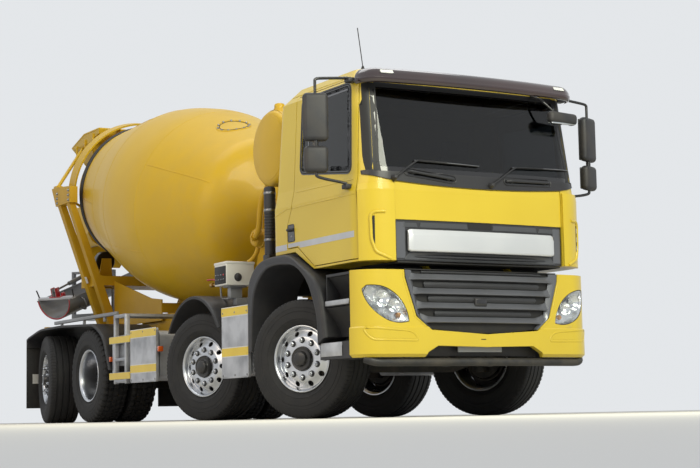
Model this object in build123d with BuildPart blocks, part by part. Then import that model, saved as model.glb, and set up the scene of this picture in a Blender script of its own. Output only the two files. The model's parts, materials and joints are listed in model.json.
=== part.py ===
from build123d import *
from math import cos, sin, tan, radians, sqrt
import os

os.makedirs("parts", exist_ok=True)

# Concrete mixer truck with four axles. Millimetres: X forward, Y to the truck's left, Z up from the ground.
# The origin is on the ground under the middle of the whole machine.

front_overhang = 1395.0
chute_post_gap = 7290.0     # from the first axle back to the chute's post
chute_slew = 122.0          # from straight back, towards the truck's right
chute_slope = 18.0
chute_head_back = 190.0     # from the post to the trough's upper end
chute_r = 250.0
chute_head_reach = (chute_r * sqrt(1 - (cos(radians(chute_slew)) * cos(radians(chute_slope))) ** 2)
                    - chute_head_back * cos(radians(chute_slew)))
overall_length = front_overhang + chute_post_gap + chute_head_reach
axle1_x = overall_length / 2 - front_overhang
axle_gap_12 = 1980.0
axle_gap_23 = 2950.0
axle_gap_34 = 1400.0
axle2_x = axle1_x - axle_gap_12
axle3_x = axle2_x - axle_gap_23
axle4_x = axle3_x - axle_gap_34

close_gap = 0.3      # between pieces that seat on each other but belong to different bodies
panel_gap = 8.0      # round doors and lids
body_half = 1235.0   # half of the width over the bumper and the mudguards
beyond = 2000.0      # a tool that cuts or trims reaches at least this far past what it meets

# Wheels: radius and width of each tyre, and where it runs.
steer_tyre_r = 536.0
steer_tyre_w = 385.0
drive_tyre_r = 538.0
drive_tyre_w = 315.0
rim_seat_r = 285.0
rim_lip_r = 302.0
kingpin_y = 860.0
steer_wheel_y = 1040.0
twin_outer_y = 1075.0
twin_spacing = 350.0
hub_z = steer_tyre_r
drive_hub_z = drive_tyre_r
spindle_r = 45.0
kingpin_r = 24.0
knuckle_ear_r = 62.0
knuckle_ear_h = 46.0
axle_eye_h = 150.0
steer_swing = sqrt(steer_tyre_r**2 + (steer_wheel_y + steer_tyre_w / 2 - kingpin_y) ** 2)
swing_clearance = 16.0

# Steering angle of each steered axle as parked, in degrees to the truck's left.
steer_axles_table = [  # name, X of the axle, angle
    ("1", axle1_x, 26.7),
    ("2", axle2_x, 18.8),
    ("4", axle4_x, -10.9),
]

# Frame and subframe.
rail_half = 400.0
rail_height = 300.0
rail_flange = 80.0
rail_web = 9.0
rail_top = 1020.0
frame_front_x = axle1_x + 1160.0
frame_rear_x = axle4_x - 770.0
subframe_top = 1165.0
tow_pin_r = 20.0
tow_z = 665.0
subframe_half = rail_half
subframe_width = 90.0
subframe_front_x = axle1_x - 620.0

# Cab.
cab_back_x = axle1_x - 390.0
cab_front_x = axle1_x + 1360.0
cab_bow = 30.0
cab_back_r = 110.0
cab_wall = 50.0
cab_floor_z = 1322.0
cab_high_floor_z = 1503.0
cab_roof_z = 3040.0
glass_set_in = 5.0
glass_thick = 7.0
cab_levels = [  # height, back edge, front edge at the middle, half width, front corner radius
    (cab_floor_z, cab_back_x, cab_front_x, 1168.0, 270.0),
    (1930.0, cab_back_x, cab_front_x, 1172.0, 270.0),
    (2080.0, cab_back_x + 6, cab_front_x - 14, 1142.0, 250.0),
    (2900.0, cab_back_x + 50, cab_front_x - 185, 1098.0, 150.0),
    (cab_roof_z, cab_back_x + 200, cab_front_x - 330, 985.0, 140.0),
]
lid_half = 880.0
lid_top = 2000.0
lid_dip = 36.0       # how far its top edge drops at the middle
lid_bottom = 1675.0
lid_back_x = cab_front_x - 75.0
firewall_back_x = lid_back_x - 65.0
bar_top = 1595.0
bar_bottom = 1401.0
bar_half = 768.0
bar_proud = front_overhang + axle1_x - cab_front_x
upper_grille_bottom = 1325.0
tunnel_half = 430.0
tunnel_top = 1640.0
tunnel_skin = 30.0
tunnel_front_x = axle1_x + 850.0
cab_pivot_x = axle1_x + 1255.0
cab_pivot_z = 1130.0
cab_pivot_r = 14.0
cab_arm_y = 435.0
cab_arm_w = 30.0

# Door, from the wheel arch forward. X values are set from axle 1.
door_hinge_x = axle1_x + 1172.0
door_hinge_y = 1192.0
mirror_turn = 24.0   # each mirror's face turns in towards the driver
mirror_deep = 88.0
door_outline = [  # X, Z
    (axle1_x - 66, 1548),
    (axle1_x - 66, 1750),
    (axle1_x + 22, 1905),
    (axle1_x + 22, 2935),
    (axle1_x + 1085, 2935),
    (axle1_x + 1160, 1750),
    (axle1_x + 1160, 1348),
    (axle1_x + 425, 1348),
    (axle1_x + 120, 1548),
]
window_outline = [  # X, Z
    (axle1_x + 140, 2228),
    (axle1_x + 140, 2880),
    (axle1_x + 985, 2880),
    (axle1_x + 1035, 2112),
]
windscreen_outline = [  # Y, Z of one half
    (1045, 2088),
    (1000, 2872),
]

# Bumper.
bumper_front_x = axle1_x + 1388.0
bumper_bow = 48.0
bumper_corner_r = 270.0
bumper_wall = 60.0
bumper_top = 1246.0
bumper_bottom = 505.0
bumper_back_x = axle1_x + 1120.0
bumper_lip = 12.0        # how far the lower half stands out
bumper_lip_z = 765.0
grille_outline = [  # Y, Z of one half, from the top
    (812, bumper_top + 60),
    (805, 1180),
    (700, 850),
    (560, 735),
    (0, 700),
]
sill_outline = [  # Y, Z of one half of the low middle opening
    (640, bumper_bottom - 60),
    (600, 545),
    (500, 600),
    (0, 590),
]
lamp_outline = [  # Y, Z of one headlamp: top, over the brow, inner tip, under the lens, outer corner
    (1140, 1114),
    (905, 1050),
    (768, 806),
    (1058, 868),
    (1166, 1080),
]

# Mixer drum: sections along its axis, measured from the knuckle of the front head.
drum_tilt = 11.0
drum_knuckle_x = axle1_x - 2633.0
drum_knuckle_z = 2182.0
drum_wall = 12.0
drum_sections = [  # distance along the axis, outside radius
    (0.0, 847.0),
    (1223.0, 1141.0),
    (2030.0, 1144.0),
    (3440.0, 860.0),
]
drum_head_depth = 255.0
track_at = 3502.0
track_width = 96.0
track_r = 866.0
track_seat_r = 838.0
mouth_at = 4230.0
mouth_r = 610.0
roller_r = 125.0
roller_width = 90.0
roller_angle = 30.0
roller_pin_r = 25.0

# Rear tower, hopper, funnel and chute.
leg_front_x = axle4_x + 380.0
leg_back_x = axle4_x - 20.0
leg_foot_y = 475.0
leg_foot_z = subframe_top
leg_top_y = 1030.0
leg_top_z = 2690.0
leg_box = 95.0
corner_box_back_x = axle1_x - 6530.0
hopper_back_x = axle1_x - 7400.0
hopper_front_x = hopper_back_x + 960.0
hopper_half = 480.0
hopper_top_z = 3690.0
chute_post_x = axle1_x - chute_post_gap
chute_post_r = 50.0
bearing_top = 1330.0
chute_skin = 8.0
chute_length = 1190.0
chute_pivot_r = 16.0

# Water tank behind the cab.
tank_x = axle1_x - 800.0
tank_z = 2600.0
tank_r = 370.0
tank_half = 1000.0


def write(name, shape):
    shape.label = name
    export_step(shape, f"parts/{name}.step")


def mirrored(points):
    # A half outline given as (y, z), closed by its mirror image.
    return points + [(-y, z) for y, z in reversed(points) if y != 0]


def side_plane(y):
    # Sketch plane whose x is the truck's X and whose y is Z, facing the truck's right.
    return Plane(origin=(0, y, 0), x_dir=(1, 0, 0), z_dir=(0, -1, 0))


def front_plane(x):
    # Sketch plane whose x is the truck's Y and whose y is Z, facing forward.
    return Plane(origin=(x, 0, 0), x_dir=(0, 1, 0), z_dir=(1, 0, 0))


def rounded_nose(level, back, front, half, bow, corner, back_corner):
    # Plan outline with a bowed front, round front corners and small back corners.
    corner_y = half - corner
    shoulder_x = front - bow
    cut = corner * (1 - cos(radians(45)))
    back_cut = back_corner * (1 - cos(radians(45)))
    with BuildSketch(Plane.XY.offset(level)) as outline:
        with BuildLine():
            ThreePointArc((shoulder_x, -corner_y), (front, 0), (shoulder_x, corner_y))
            ThreePointArc((shoulder_x, corner_y), (shoulder_x - cut, half - cut), (shoulder_x - corner, half))
            Line((shoulder_x - corner, half), (back + back_corner, half))
            ThreePointArc((back + back_corner, half), (back + back_cut, half - back_cut), (back, half - back_corner))
            Line((back, half - back_corner), (back, -half + back_corner))
            ThreePointArc((back, -half + back_corner), (back + back_cut, -half + back_cut), (back + back_corner, -half))
            Line((back + back_corner, -half), (shoulder_x - corner, -half))
            ThreePointArc((shoulder_x - corner, -half), (shoulder_x - cut, -half + cut), (shoulder_x, -corner_y))
        make_face()
    return outline.sketch


def cab_form(inset):
    # The cab's outer form, drawn in by inset on every side but the floor.
    with BuildPart() as form:
        sections = []
        for level, back, front, half, corner in cab_levels:
            height = level - inset if level == cab_roof_z else level
            sections.append(rounded_nose(height, back + inset, front - inset, half - inset,
                                         cab_bow, corner - inset, cab_back_r - min(inset, 60)))
        loft(sections, ruled=True)
    return form.part


def prism(plane, points, amount, both=False, rounds=None, grow=0):
    # A straight-sided solid from a list of corners, with optional corner radii, grown all round by grow.
    with BuildPart() as solid:
        with BuildSketch(plane) as outline:
            with BuildLine():
                if rounds:
                    FilletPolyline(*points, radius=rounds, close=True)
                else:
                    Polyline(*points, close=True)
            make_face()
            if grow:
                offset(amount=grow, kind=Kind.INTERSECTION)
        extrude(amount=amount, both=both)
    return solid.part


def block(x, y, z):
    # A box between two values on each axis.
    with BuildPart() as solid:
        with Locations(((x[0] + x[1]) / 2, (y[0] + y[1]) / 2, (z[0] + z[1]) / 2)):
            Box(abs(x[1] - x[0]), abs(y[1] - y[0]), abs(z[1] - z[0]))
    return solid.part


def soft_block(x, y, z, axis, radius):
    # A block whose edges along one axis are rounded.
    with BuildPart() as solid:
        with Locations(((x[0] + x[1]) / 2, (y[0] + y[1]) / 2, (z[0] + z[1]) / 2)):
            Box(abs(x[1] - x[0]), abs(y[1] - y[0]), abs(z[1] - z[0]))
        fillet(solid.edges().filter_by(axis), radius)
    return solid.part


def rod(points, radius):
    # Round bar through a list of points, with round elbows.
    with BuildPart() as solid:
        for start, end in zip(points, points[1:]):
            reach = Vector(*end) - Vector(*start)
            with BuildSketch(Plane(origin=start, z_dir=reach)):
                Circle(radius)
            extrude(amount=reach.length)
        for elbow in points[1:-1]:
            with Locations(elbow):
                Sphere(radius)
    return solid.part


# Frame rails with their cross members, and the towing pin's jaw at the front.
cross_member_x = [frame_rear_x + 60, axle4_x + 420, axle3_x + 640, axle2_x - 640, axle2_x + 500, axle1_x - 560]
with BuildPart() as frame_rails:
    for side in (-1, 1):
        web_y = side * (rail_half - rail_web / 2)
        mid_x = (frame_front_x + frame_rear_x) / 2
        length = frame_front_x - frame_rear_x
        with Locations((mid_x, web_y, rail_top - rail_height / 2)):
            Box(length, rail_web, rail_height)
        for level in (rail_top - rail_web / 2, rail_top - rail_height + rail_web / 2):
            with Locations((mid_x, side * (rail_half - rail_flange / 2), level)):
                Box(length, rail_flange, rail_web)
    for x in cross_member_x:
        with Locations((x, 0, rail_top - rail_height / 2)):
            Box(70, 2 * (rail_half - rail_web), rail_height - 90)
    with Locations((frame_front_x - 30, 0, rail_top - rail_height / 2 - 60)):
        Box(60, 2 * (rail_half - rail_web), 160)
    for side in (-1, 1):
        add(block((cab_pivot_x - 190, cab_pivot_x + 26), (side * rail_half, side * (rail_half + 18)),
                  (rail_top - 70, cab_pivot_z + 30)))
        with Locations((cab_pivot_x, side * (rail_half + 28), cab_pivot_z)):
            Cylinder(cab_pivot_r - close_gap, 56, rotation=(90, 0, 0))
        # Rest under the cab's back edge.
        add(block((cab_back_x + 30, cab_back_x + 100), (side * rail_half, side * 500), (rail_top - 60, rail_top)))
        add(block((cab_back_x + 30, cab_back_x + 100), (side * 440, side * 500), (rail_top - 60, cab_high_floor_z)))
    # Console behind the frame's end, with two bearings for the chute's post.
    add(block((chute_post_x + 80, frame_rear_x + 14), (-75, 75), (860, bearing_top)))
    add(block((frame_rear_x + 10, frame_rear_x + 25), (-75, 75), (860, 960)))
    for low, high in ((860, 950), (bearing_top - 100, bearing_top)):
        add(block((chute_post_x - 80, chute_post_x + 100), (-75, 75), (low, high)))
    with Locations((chute_post_x, 0, bearing_top - 200)):
        Cylinder(chute_post_r + close_gap, 700, mode=Mode.SUBTRACT)
    for low in (tow_z - 47, tow_z + 22):
        with Locations((frame_front_x + 45, 0, low + 12.5)):
            Box(90, 110, 25)
    add(block((frame_front_x - 60, frame_front_x + 10), (-55, 55), (tow_z - 47, rail_top - 280)))
    with Locations((frame_front_x + 52, 0, tow_z)):
        Cylinder(tow_pin_r, 200, mode=Mode.SUBTRACT)
write("frame_rails", frame_rails.part)

# Subframe: two box members on the rails, side plates under the drum and the rear cross bar.
rear_bar_x = axle4_x - 620.0
front_tower_x = drum_knuckle_x + 560.0
front_tower_length = 420.0
gearbox_z = drum_knuckle_z - (front_tower_x - drum_knuckle_x) * tan(radians(drum_tilt))
with BuildPart() as mixer_subframe:
    for side in (-1, 1):
        with Locations(((subframe_front_x + frame_rear_x) / 2, side * (subframe_half - subframe_width / 2),
                        (rail_top + subframe_top) / 2)):
            Box(subframe_front_x - frame_rear_x, subframe_width, subframe_top - rail_top)
        add(prism(side_plane(side * subframe_half), [
            (axle2_x - 420, rail_top - 60), (axle2_x - 420, subframe_top + 20),
            (axle3_x + 700, subframe_top + 70), (axle3_x - 300, subframe_top + 110),
            (axle3_x - 300, rail_top - 60)], -side * 12))
    for x in (subframe_front_x - 60, axle2_x - 300, axle3_x + 500, frame_rear_x + 60):
        with Locations((x, 0, (rail_top + subframe_top) / 2)):
            Box(90, 2 * subframe_half - subframe_width, subframe_top - rail_top - 20)
    with Locations((rear_bar_x, 0, subframe_top + 25)):
        Box(80, 2020, 50)
    # The front tower: two tapered side plates and the table that the gearbox stands on.
    for side in (-1, 1):
        add(prism(side_plane(side * 330 + 12), [
            (front_tower_x - 380, subframe_top), (front_tower_x + 330, subframe_top),
            (front_tower_x + 170, gearbox_z - 250), (front_tower_x - 190, gearbox_z - 250)], 24))
    with Locations((front_tower_x - 10, 0, gearbox_z - 262)):
        Box(380, 720, 24)
write("mixer_subframe", mixer_subframe.part)

# Drum. Its axis rises towards the back.
drum_axis_dir = Vector(-cos(radians(drum_tilt)), 0, sin(radians(drum_tilt)))
drum_origin = Vector(drum_knuckle_x, 0, drum_knuckle_z)
drum_plane = Plane(origin=drum_origin, x_dir=drum_axis_dir, z_dir=(0, 1, 0))
drum_axis = Axis(drum_origin, drum_axis_dir)
flange_r = 170.0
flange_at = -drum_head_depth - 80.0
outer_line = list(drum_sections) + [
    (track_at - track_width / 2, track_seat_r), (track_at + track_width / 2, track_seat_r),
    (mouth_at, mouth_r)]
with BuildPart() as mixer_drum:
    with BuildSketch(drum_plane):
        with BuildLine():
            head_r = drum_sections[0][1]
            ThreePointArc((0, head_r), (-drum_head_depth * 0.72, head_r * 0.5), (-drum_head_depth, flange_r))
            Line((-drum_head_depth, flange_r), (flange_at, flange_r))
            Line((flange_at, flange_r), (flange_at, 0))
            Line((flange_at, 0), (-drum_head_depth + drum_wall, 0))
            ThreePointArc((-drum_head_depth + drum_wall, 0), (-drum_head_depth * 0.72 + drum_wall, head_r * 0.5),
                          (drum_wall, head_r - drum_wall))
            inner = [(s, r - drum_wall) for s, r in outer_line[1:-1]]
            Polyline((drum_wall, head_r - drum_wall), *inner, (mouth_at, mouth_r - drum_wall))
            Polyline((mouth_at, mouth_r - drum_wall), (mouth_at, mouth_r), *reversed(outer_line[:-1]))
        make_face()
    revolve(axis=drum_axis)
write("mixer_drum", mixer_drum.part)

with BuildPart() as drum_ring:
    with BuildSketch(drum_plane):
        with Locations((track_at, (track_r + track_seat_r + close_gap) / 2)):
            Rectangle(track_width, track_r - track_seat_r - close_gap)
    revolve(axis=drum_axis)
write("drum_ring", drum_ring.part)


def drum_point(along, out, angle, side):
    # A point near the drum, given along its axis, out from it, and by its angle from straight below.
    up = Vector(sin(radians(drum_tilt)), 0, cos(radians(drum_tilt)))
    below = up * (-out * cos(radians(angle)))
    return drum_origin + drum_axis_dir * along + below + Vector(0, side * out * sin(radians(angle)), 0)


# Support rollers and the saddles that hold their pins.
roller_out = track_r + close_gap + roller_r
saddle_half = roller_width / 2 + 30
for side, letter in ((-1, "r"), (1, "l")):
    centre = drum_point(track_at, roller_out, roller_angle, side)
    roller_plane = Plane(origin=centre, x_dir=(0, 1, 0), z_dir=drum_axis_dir)
    with BuildPart() as roller:
        with BuildSketch(roller_plane):
            Circle(roller_r)
            Circle(roller_pin_r + close_gap, mode=Mode.SUBTRACT)
        extrude(amount=roller_width / 2, both=True)
        fillet(roller.edges().filter_by(GeomType.CIRCLE).group_by(SortBy.RADIUS)[-1], 10)
    write(f"roller_{letter}", roller.part)

# Rear tower: two channel legs a side, leaning outwards, corner boxes, the roller beam and its gussets.
leg_lean = Vector(0, leg_top_y - leg_foot_y, leg_top_z - leg_foot_z)
roller_mid = drum_point(track_at, roller_out, roller_angle, 1)
beam_z = roller_mid.Z - 265.0
plate_front_x = axle1_x - 4516.0
beam_half = leg_foot_y + (beam_z - leg_foot_z) * (leg_top_y - leg_foot_y) / (leg_top_z - leg_foot_z)
yoke_at = 3740.0
yoke_r = 905.0
yoke_wall = 22.0
yoke_width = 200.0
with BuildPart() as rear_pedestal:
    for side in (-1, 1):
        for x in (leg_front_x - leg_box / 2, leg_back_x + leg_box / 2):
            foot = Plane(origin=(x, side * leg_foot_y, leg_foot_z), x_dir=(1, 0, 0), z_dir=(0, 0, 1))
            top = Plane(origin=(x, side * leg_top_y, leg_top_z + 10), x_dir=(1, 0, 0), z_dir=(0, 0, 1))
            with BuildSketch(foot):
                Rectangle(leg_box, 110)
            with BuildSketch(top):
                Rectangle(leg_box, 80)
            loft()
        add(prism(side_plane(side * leg_top_y + 50), [
            (leg_front_x + 60, leg_top_z), (leg_front_x + 60, leg_top_z + 200),
            (leg_back_x, leg_top_z + 240), (corner_box_back_x, leg_top_z + 240),
            (leg_back_x - 30, leg_top_z)], 100))
        # Side plate from the legs forward under the drum, with a cross plate at its front end.
        add(prism(side_plane(side * (leg_foot_y - 10) + 8), [
            (leg_front_x - 10, subframe_top), (plate_front_x, subframe_top), (plate_front_x, 1410),
            (axle1_x - 4830, 1445), (axle1_x - 5430, 1600), (leg_front_x - 10, 1740)], 16))
        with Locations(((leg_front_x + leg_back_x) / 2 + 140, side * (leg_foot_y - 25), subframe_top + 15)):
            Box(leg_front_x - leg_back_x + 280, 180, 30)
        # Saddle: two cheeks round the roller, with its pin.
        centre = drum_point(track_at, roller_out, roller_angle, side)
        for end in (-1, 1):
            cheek = Plane(origin=centre + drum_axis_dir * (end * saddle_half), x_dir=(0, -1, 0), z_dir=drum_axis_dir)
            with BuildSketch(cheek):
                with BuildLine():
                    drop = 330.0
                    Polyline((-105, -drop), (-60, 45), (60, 45), (105, -drop), close=True)
                make_face()
            extrude(amount=10, both=True)
        pin = Plane(origin=centre, x_dir=(0, 1, 0), z_dir=drum_axis_dir)
        with BuildSketch(pin):
            Circle(roller_pin_r)
        extrude(amount=saddle_half + 10, both=True)
    plate_x = (plate_front_x - 16, plate_front_x)
    add(block(plate_x, (12 - subframe_half, subframe_half - 12), (subframe_top, subframe_top + 90)))
    add(block(plate_x, (10 - leg_foot_y, leg_foot_y - 10), (subframe_top + 90, 1370)))
    with Locations(((leg_front_x + leg_back_x) / 2 - 90, 0, beam_z)):
        Box(leg_front_x - leg_back_x + 180, 2 * beam_half, 120)
write("rear_pedestal", rear_pedestal.part)

# Charging hopper on a yoke: a half ring over the drum's rear whose feet stand against the corner boxes.
yoke_centre = drum_origin + drum_axis_dir * yoke_at
yoke_plane = Plane(origin=yoke_centre, x_dir=(0, -1, 0), z_dir=drum_axis_dir)
hopper_wall = 8.0
hopper_side = [  # X, Z, from the back lip round
    (hopper_back_x, hopper_top_z - 70), (hopper_back_x + 440, hopper_top_z + 45),
    (hopper_front_x, hopper_top_z + 45), (hopper_front_x - 15, hopper_top_z - 15),
    (hopper_back_x + 600, hopper_top_z - 90), (hopper_back_x + 545, hopper_top_z - 545),
    (hopper_back_x + 290, hopper_top_z - 545)]
hopper_end = [  # Y, Z of one half
    (hopper_half, hopper_top_z + 60), (hopper_half, hopper_top_z - 90), (210, hopper_top_z - 560)]


def funnel(side_points, end_points, shift, wall, open_front):
    # An open funnel: a side outline crossed with an end outline, hollowed, with the wall left standing.
    xs = [x for x, z in side_points]
    mid_x = (min(xs) + max(xs)) / 2
    with BuildPart() as outside:
        add(prism(side_plane(0), side_points, beyond, both=True))
        add(prism(front_plane(mid_x), mirrored(end_points), beyond, both=True), mode=Mode.INTERSECT)
    with BuildPart() as inside:
        shrunk = [(x + (wall if x < mid_x else -wall), z + (3 * wall if z > shift else -3 * wall))
                  for x, z in side_points]
        add(prism(side_plane(0), shrunk, beyond, both=True))
        narrow = [(y - wall, z) for y, z in end_points]
        narrow = [(narrow[0][0], narrow[0][1] + 4 * wall), narrow[1], (narrow[2][0], narrow[2][1] - 4 * wall)]
        add(prism(front_plane(mid_x), mirrored(narrow), beyond, both=True), mode=Mode.INTERSECT)
        if open_front:
            low, high, reach = open_front
            with Locations((mid_x + reach / 2, 0, (low + high) / 2)):
                Box(reach, 2 * narrow[2][0], high - low)
    return outside.part - inside.part


with BuildPart() as charge_hopper:
    with BuildSketch(yoke_plane):
        with BuildLine():
            start, sweep_angle = -6.0, 192.0
            CenterArc((0, 0), yoke_r, start, sweep_angle)
            CenterArc((0, 0), yoke_r - yoke_wall, start, sweep_angle)
            for angle in (start, start + sweep_angle):
                edge = (cos(radians(angle)), sin(radians(angle)))
                Line((yoke_r * edge[0], yoke_r * edge[1]),
                     ((yoke_r - yoke_wall) * edge[0], (yoke_r - yoke_wall) * edge[1]))
        make_face()
    extrude(amount=yoke_width / 2, both=True)
    for side in (-1, 1):
        inner_y = yoke_r - yoke_wall / 2
        with Locations((yoke_centre.X, side * (inner_y + leg_top_y - 50) / 2, yoke_centre.Z - 40)):
            Box(yoke_width - 60, leg_top_y - 50 - inner_y, 110)
    add(funnel(hopper_side, hopper_end, hopper_top_z - 300, hopper_wall,
               (hopper_top_z - 520, hopper_top_z - 130, 260)))
    # Two bars carry the hopper on the yoke, and two braces run down to the corner boxes.
    link_front_x = yoke_centre.X + 85
    link_back_x = hopper_front_x - 60
    for side in (-1, 1):
        with Locations(((link_front_x + link_back_x) / 2, side * 300, hopper_top_z - 5)):
            Box(link_front_x - link_back_x, 50, 70)
        brace_top = Vector(hopper_back_x + 330, side * (hopper_half - 25), hopper_top_z - 120)
        brace_foot = Vector(corner_box_back_x + 70, side * (leg_top_y - 10), leg_top_z + 262)
        with Locations((corner_box_back_x + 70, side * (leg_top_y - 10), leg_top_z + 255)):
            Box(100, 80, 30)
        with BuildSketch(Plane(origin=brace_foot, z_dir=brace_top - brace_foot)):
            Circle(22)
        extrude(amount=(brace_top - brace_foot).length)
write("charge_hopper", charge_hopper.part)

# Discharge funnel under the drum's mouth.
funnel_bottom_z = 2040.0
funnel_side = [
    (hopper_back_x + 30, funnel_bottom_z + 780), (hopper_back_x + 500, funnel_bottom_z + 780),
    (hopper_back_x + 430, funnel_bottom_z + 300), (hopper_back_x + 760, funnel_bottom_z + 140),
    (hopper_back_x + 690, funnel_bottom_z + 60), (chute_post_x + 165, funnel_bottom_z),
    (hopper_back_x + 35, funnel_bottom_z)]
funnel_end = [(430, funnel_bottom_z + 790), (430, funnel_bottom_z + 400), (165, funnel_bottom_z - 10)]
with BuildPart() as discharge_funnel:
    add(funnel(funnel_side, funnel_end, funnel_bottom_z + 300, 6.0,
               (funnel_bottom_z + 360, funnel_bottom_z + 740, 330)))
    # Two bars hold the funnel on the corner boxes.
    for side in (-1, 1):
        box_y_in = leg_top_y - 50
        add(block((corner_box_back_x + 40, corner_box_back_x + 120), (side * (box_y_in - 20), side * box_y_in),
                  (leg_top_z + 130, leg_top_z + 200)))
        add(rod([(corner_box_back_x + 80, side * (box_y_in - 14), leg_top_z + 165),
                 (hopper_back_x + 330, side * 424, funnel_bottom_z + 730)], 18))
write("discharge_funnel", discharge_funnel.part)

# Chute: a post that slews in a bearing on the frame's end, a trough that tilts on it and the strut above.
chute_dir = Vector(-cos(radians(chute_slew)), -sin(radians(chute_slew)), 0)
chute_side = Vector(chute_dir.Y, -chute_dir.X, 0)
chute_base = Plane(origin=(chute_post_x, 0, 0), x_dir=chute_dir, z_dir=(0, 0, 1))
chute_hinge_a = 120.0
chute_hinge_z = 1575.0
portal_a = 350.0
portal_half = 318.0
portal_top = 1968.0
with BuildPart(chute_base) as chute_mast:
    with Locations((0, 0, (rail_top - 200 + chute_hinge_z - 70) / 2)):
        Cylinder(chute_post_r, chute_hinge_z - 70 - rail_top + 200)
    with Locations((0, 0, bearing_top + 25)):
        Cylinder(chute_post_r + 42, 50 - 2 * close_gap)
    with Locations((portal_a / 2, 0, bearing_top + 45)):
        Box(portal_a + 60, 2 * portal_half + 30, 70)
    with Locations((chute_hinge_a / 2, 0, chute_hinge_z - 90)):
        Box(chute_hinge_a + 60, 76, 60)
    for side in (-1, 1):
        with Locations((portal_a, side * portal_half, (bearing_top + portal_top) / 2)):
            Box(60, 30, portal_top - bearing_top)
        with Locations((chute_hinge_a, side * 50, chute_hinge_z - 48)):
            Box(48, 24, 144)
    with Locations((portal_a, 0, portal_top - 15)):
        Box(50, 2 * portal_half, 30)
    with Locations((chute_hinge_a, 0, chute_hinge_z)):
        Cylinder(chute_pivot_r - close_gap, 124, rotation=(90, 0, 0))
    for side in (-1, 1):
        with Locations((portal_a + 50, side * 22, portal_top - 15)):
            Box(60, 12, 44)
    with Locations((portal_a + 55, 0, portal_top - 15)):
        Cylinder(9, 56, rotation=(90, 0, 0))
write("chute_mast", chute_mast.part)

trough_slope = Vector(chute_dir.X * cos(radians(chute_slope)), chute_dir.Y * cos(radians(chute_slope)),
                      -sin(radians(chute_slope)))
trough_mid_z = 1920.0
trough_head = Vector(chute_post_x, 0, trough_mid_z) - chute_dir * chute_head_back
trough_head = trough_head + Vector(0, 0, chute_head_back * tan(radians(chute_slope)))
trough_end = Plane(origin=trough_head, x_dir=chute_side, z_dir=trough_slope)
trough_length = (chute_length + chute_head_back) / cos(radians(chute_slope))
hinge_point = Vector(chute_post_x, 0, chute_hinge_z) + chute_dir * chute_hinge_a
bracket_at = trough_length - 70.0
bracket_point = trough_head + trough_slope * bracket_at
trough_up = Vector(0, 0, 1) * cos(radians(chute_slope)) + chute_dir * sin(radians(chute_slope))
strut_top = Vector(chute_post_x, 0, portal_top - 15) + chute_dir * (portal_a + 55)
strut_foot = bracket_point + trough_up * 110
with BuildPart() as chute_trough:
    with BuildSketch(trough_end):
        Circle(chute_r)
        Circle(chute_r - chute_skin, mode=Mode.SUBTRACT)
        up_sign = trough_end.y_dir.Z
        with Locations((0, chute_r * (1 if up_sign > 0 else -1))):
            Rectangle(3 * chute_r, 2 * chute_r, mode=Mode.SUBTRACT)
    extrude(amount=trough_length)
    # Lugs under the trough for the tilting pin.
    lug_plane = Plane(origin=hinge_point, x_dir=trough_slope, z_dir=chute_side)
    with BuildSketch(lug_plane):
        Circle(28)
        with Locations(Vector(0, 46 * (1 if lug_plane.y_dir.Z > 0 else -1))):
            Rectangle(56, 92)
        Circle(chute_pivot_r, mode=Mode.SUBTRACT)
    extrude(amount=32, both=True)
    with BuildSketch(trough_end, mode=Mode.PRIVATE) as hollow:
        Circle(chute_r - chute_skin)
    extrude(hollow.sketch, amount=trough_length, mode=Mode.SUBTRACT)
    # Bar across the rim near the lip, with the bracket that the cylinder holds.
    bar_plane = Plane(origin=bracket_point, x_dir=chute_side, z_dir=trough_up)
    with BuildSketch(bar_plane.offset(0)):
        Rectangle(2 * chute_r + 40, 60)
    extrude(amount=30)
    with BuildSketch(bar_plane.offset(30)):
        with Locations((-22, 0), (22, 0)):
            Rectangle(12, 70)
    extrude(amount=110)
    with BuildSketch(Plane(origin=bracket_point + trough_up * 110 - chute_side * 28, z_dir=chute_side)):
        Circle(10 - close_gap)
    extrude(amount=56)
write("chute_trough", chute_trough.part)

strut_dir = (strut_foot - strut_top).normalized()
strut_length = (strut_foot - strut_top).length
strut_plane = Plane(origin=strut_top, x_dir=chute_side, z_dir=strut_dir)
ram_r, ram_bore_r, rod_r = 27.0, 13.3, 13.0
ram_start, ram_end = 46.0, strut_length * 0.62
rod_start = ram_start + 190.0
with BuildPart() as chute_cylinder:
    with BuildSketch(Plane(origin=strut_top - chute_side * 14, x_dir=strut_dir, z_dir=chute_side)):
        Circle(26)
        Circle(9 + close_gap, mode=Mode.SUBTRACT)
    extrude(amount=28)
    with BuildSketch(strut_plane.offset(18)):
        Circle(13)
    extrude(amount=ram_start - 10)
    with BuildSketch(strut_plane.offset(ram_start)):
        Circle(ram_r)
    extrude(amount=ram_end - ram_start)
    with BuildSketch(strut_plane.offset(ram_start + 16)):
        Circle(ram_bore_r)
    extrude(amount=ram_end, mode=Mode.SUBTRACT)
write("chute_cylinder", chute_cylinder.part)

with BuildPart() as chute_rod:
    with BuildSketch(strut_plane.offset(rod_start)):
        Circle(rod_r)
    extrude(amount=strut_length - rod_start - 16)
    with BuildSketch(Plane(origin=strut_foot - chute_side * 12, x_dir=strut_dir, z_dir=chute_side)):
        Circle(24)
        Circle(10, mode=Mode.SUBTRACT)
    extrude(amount=24)
write("chute_rod", chute_rod.part)

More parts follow.
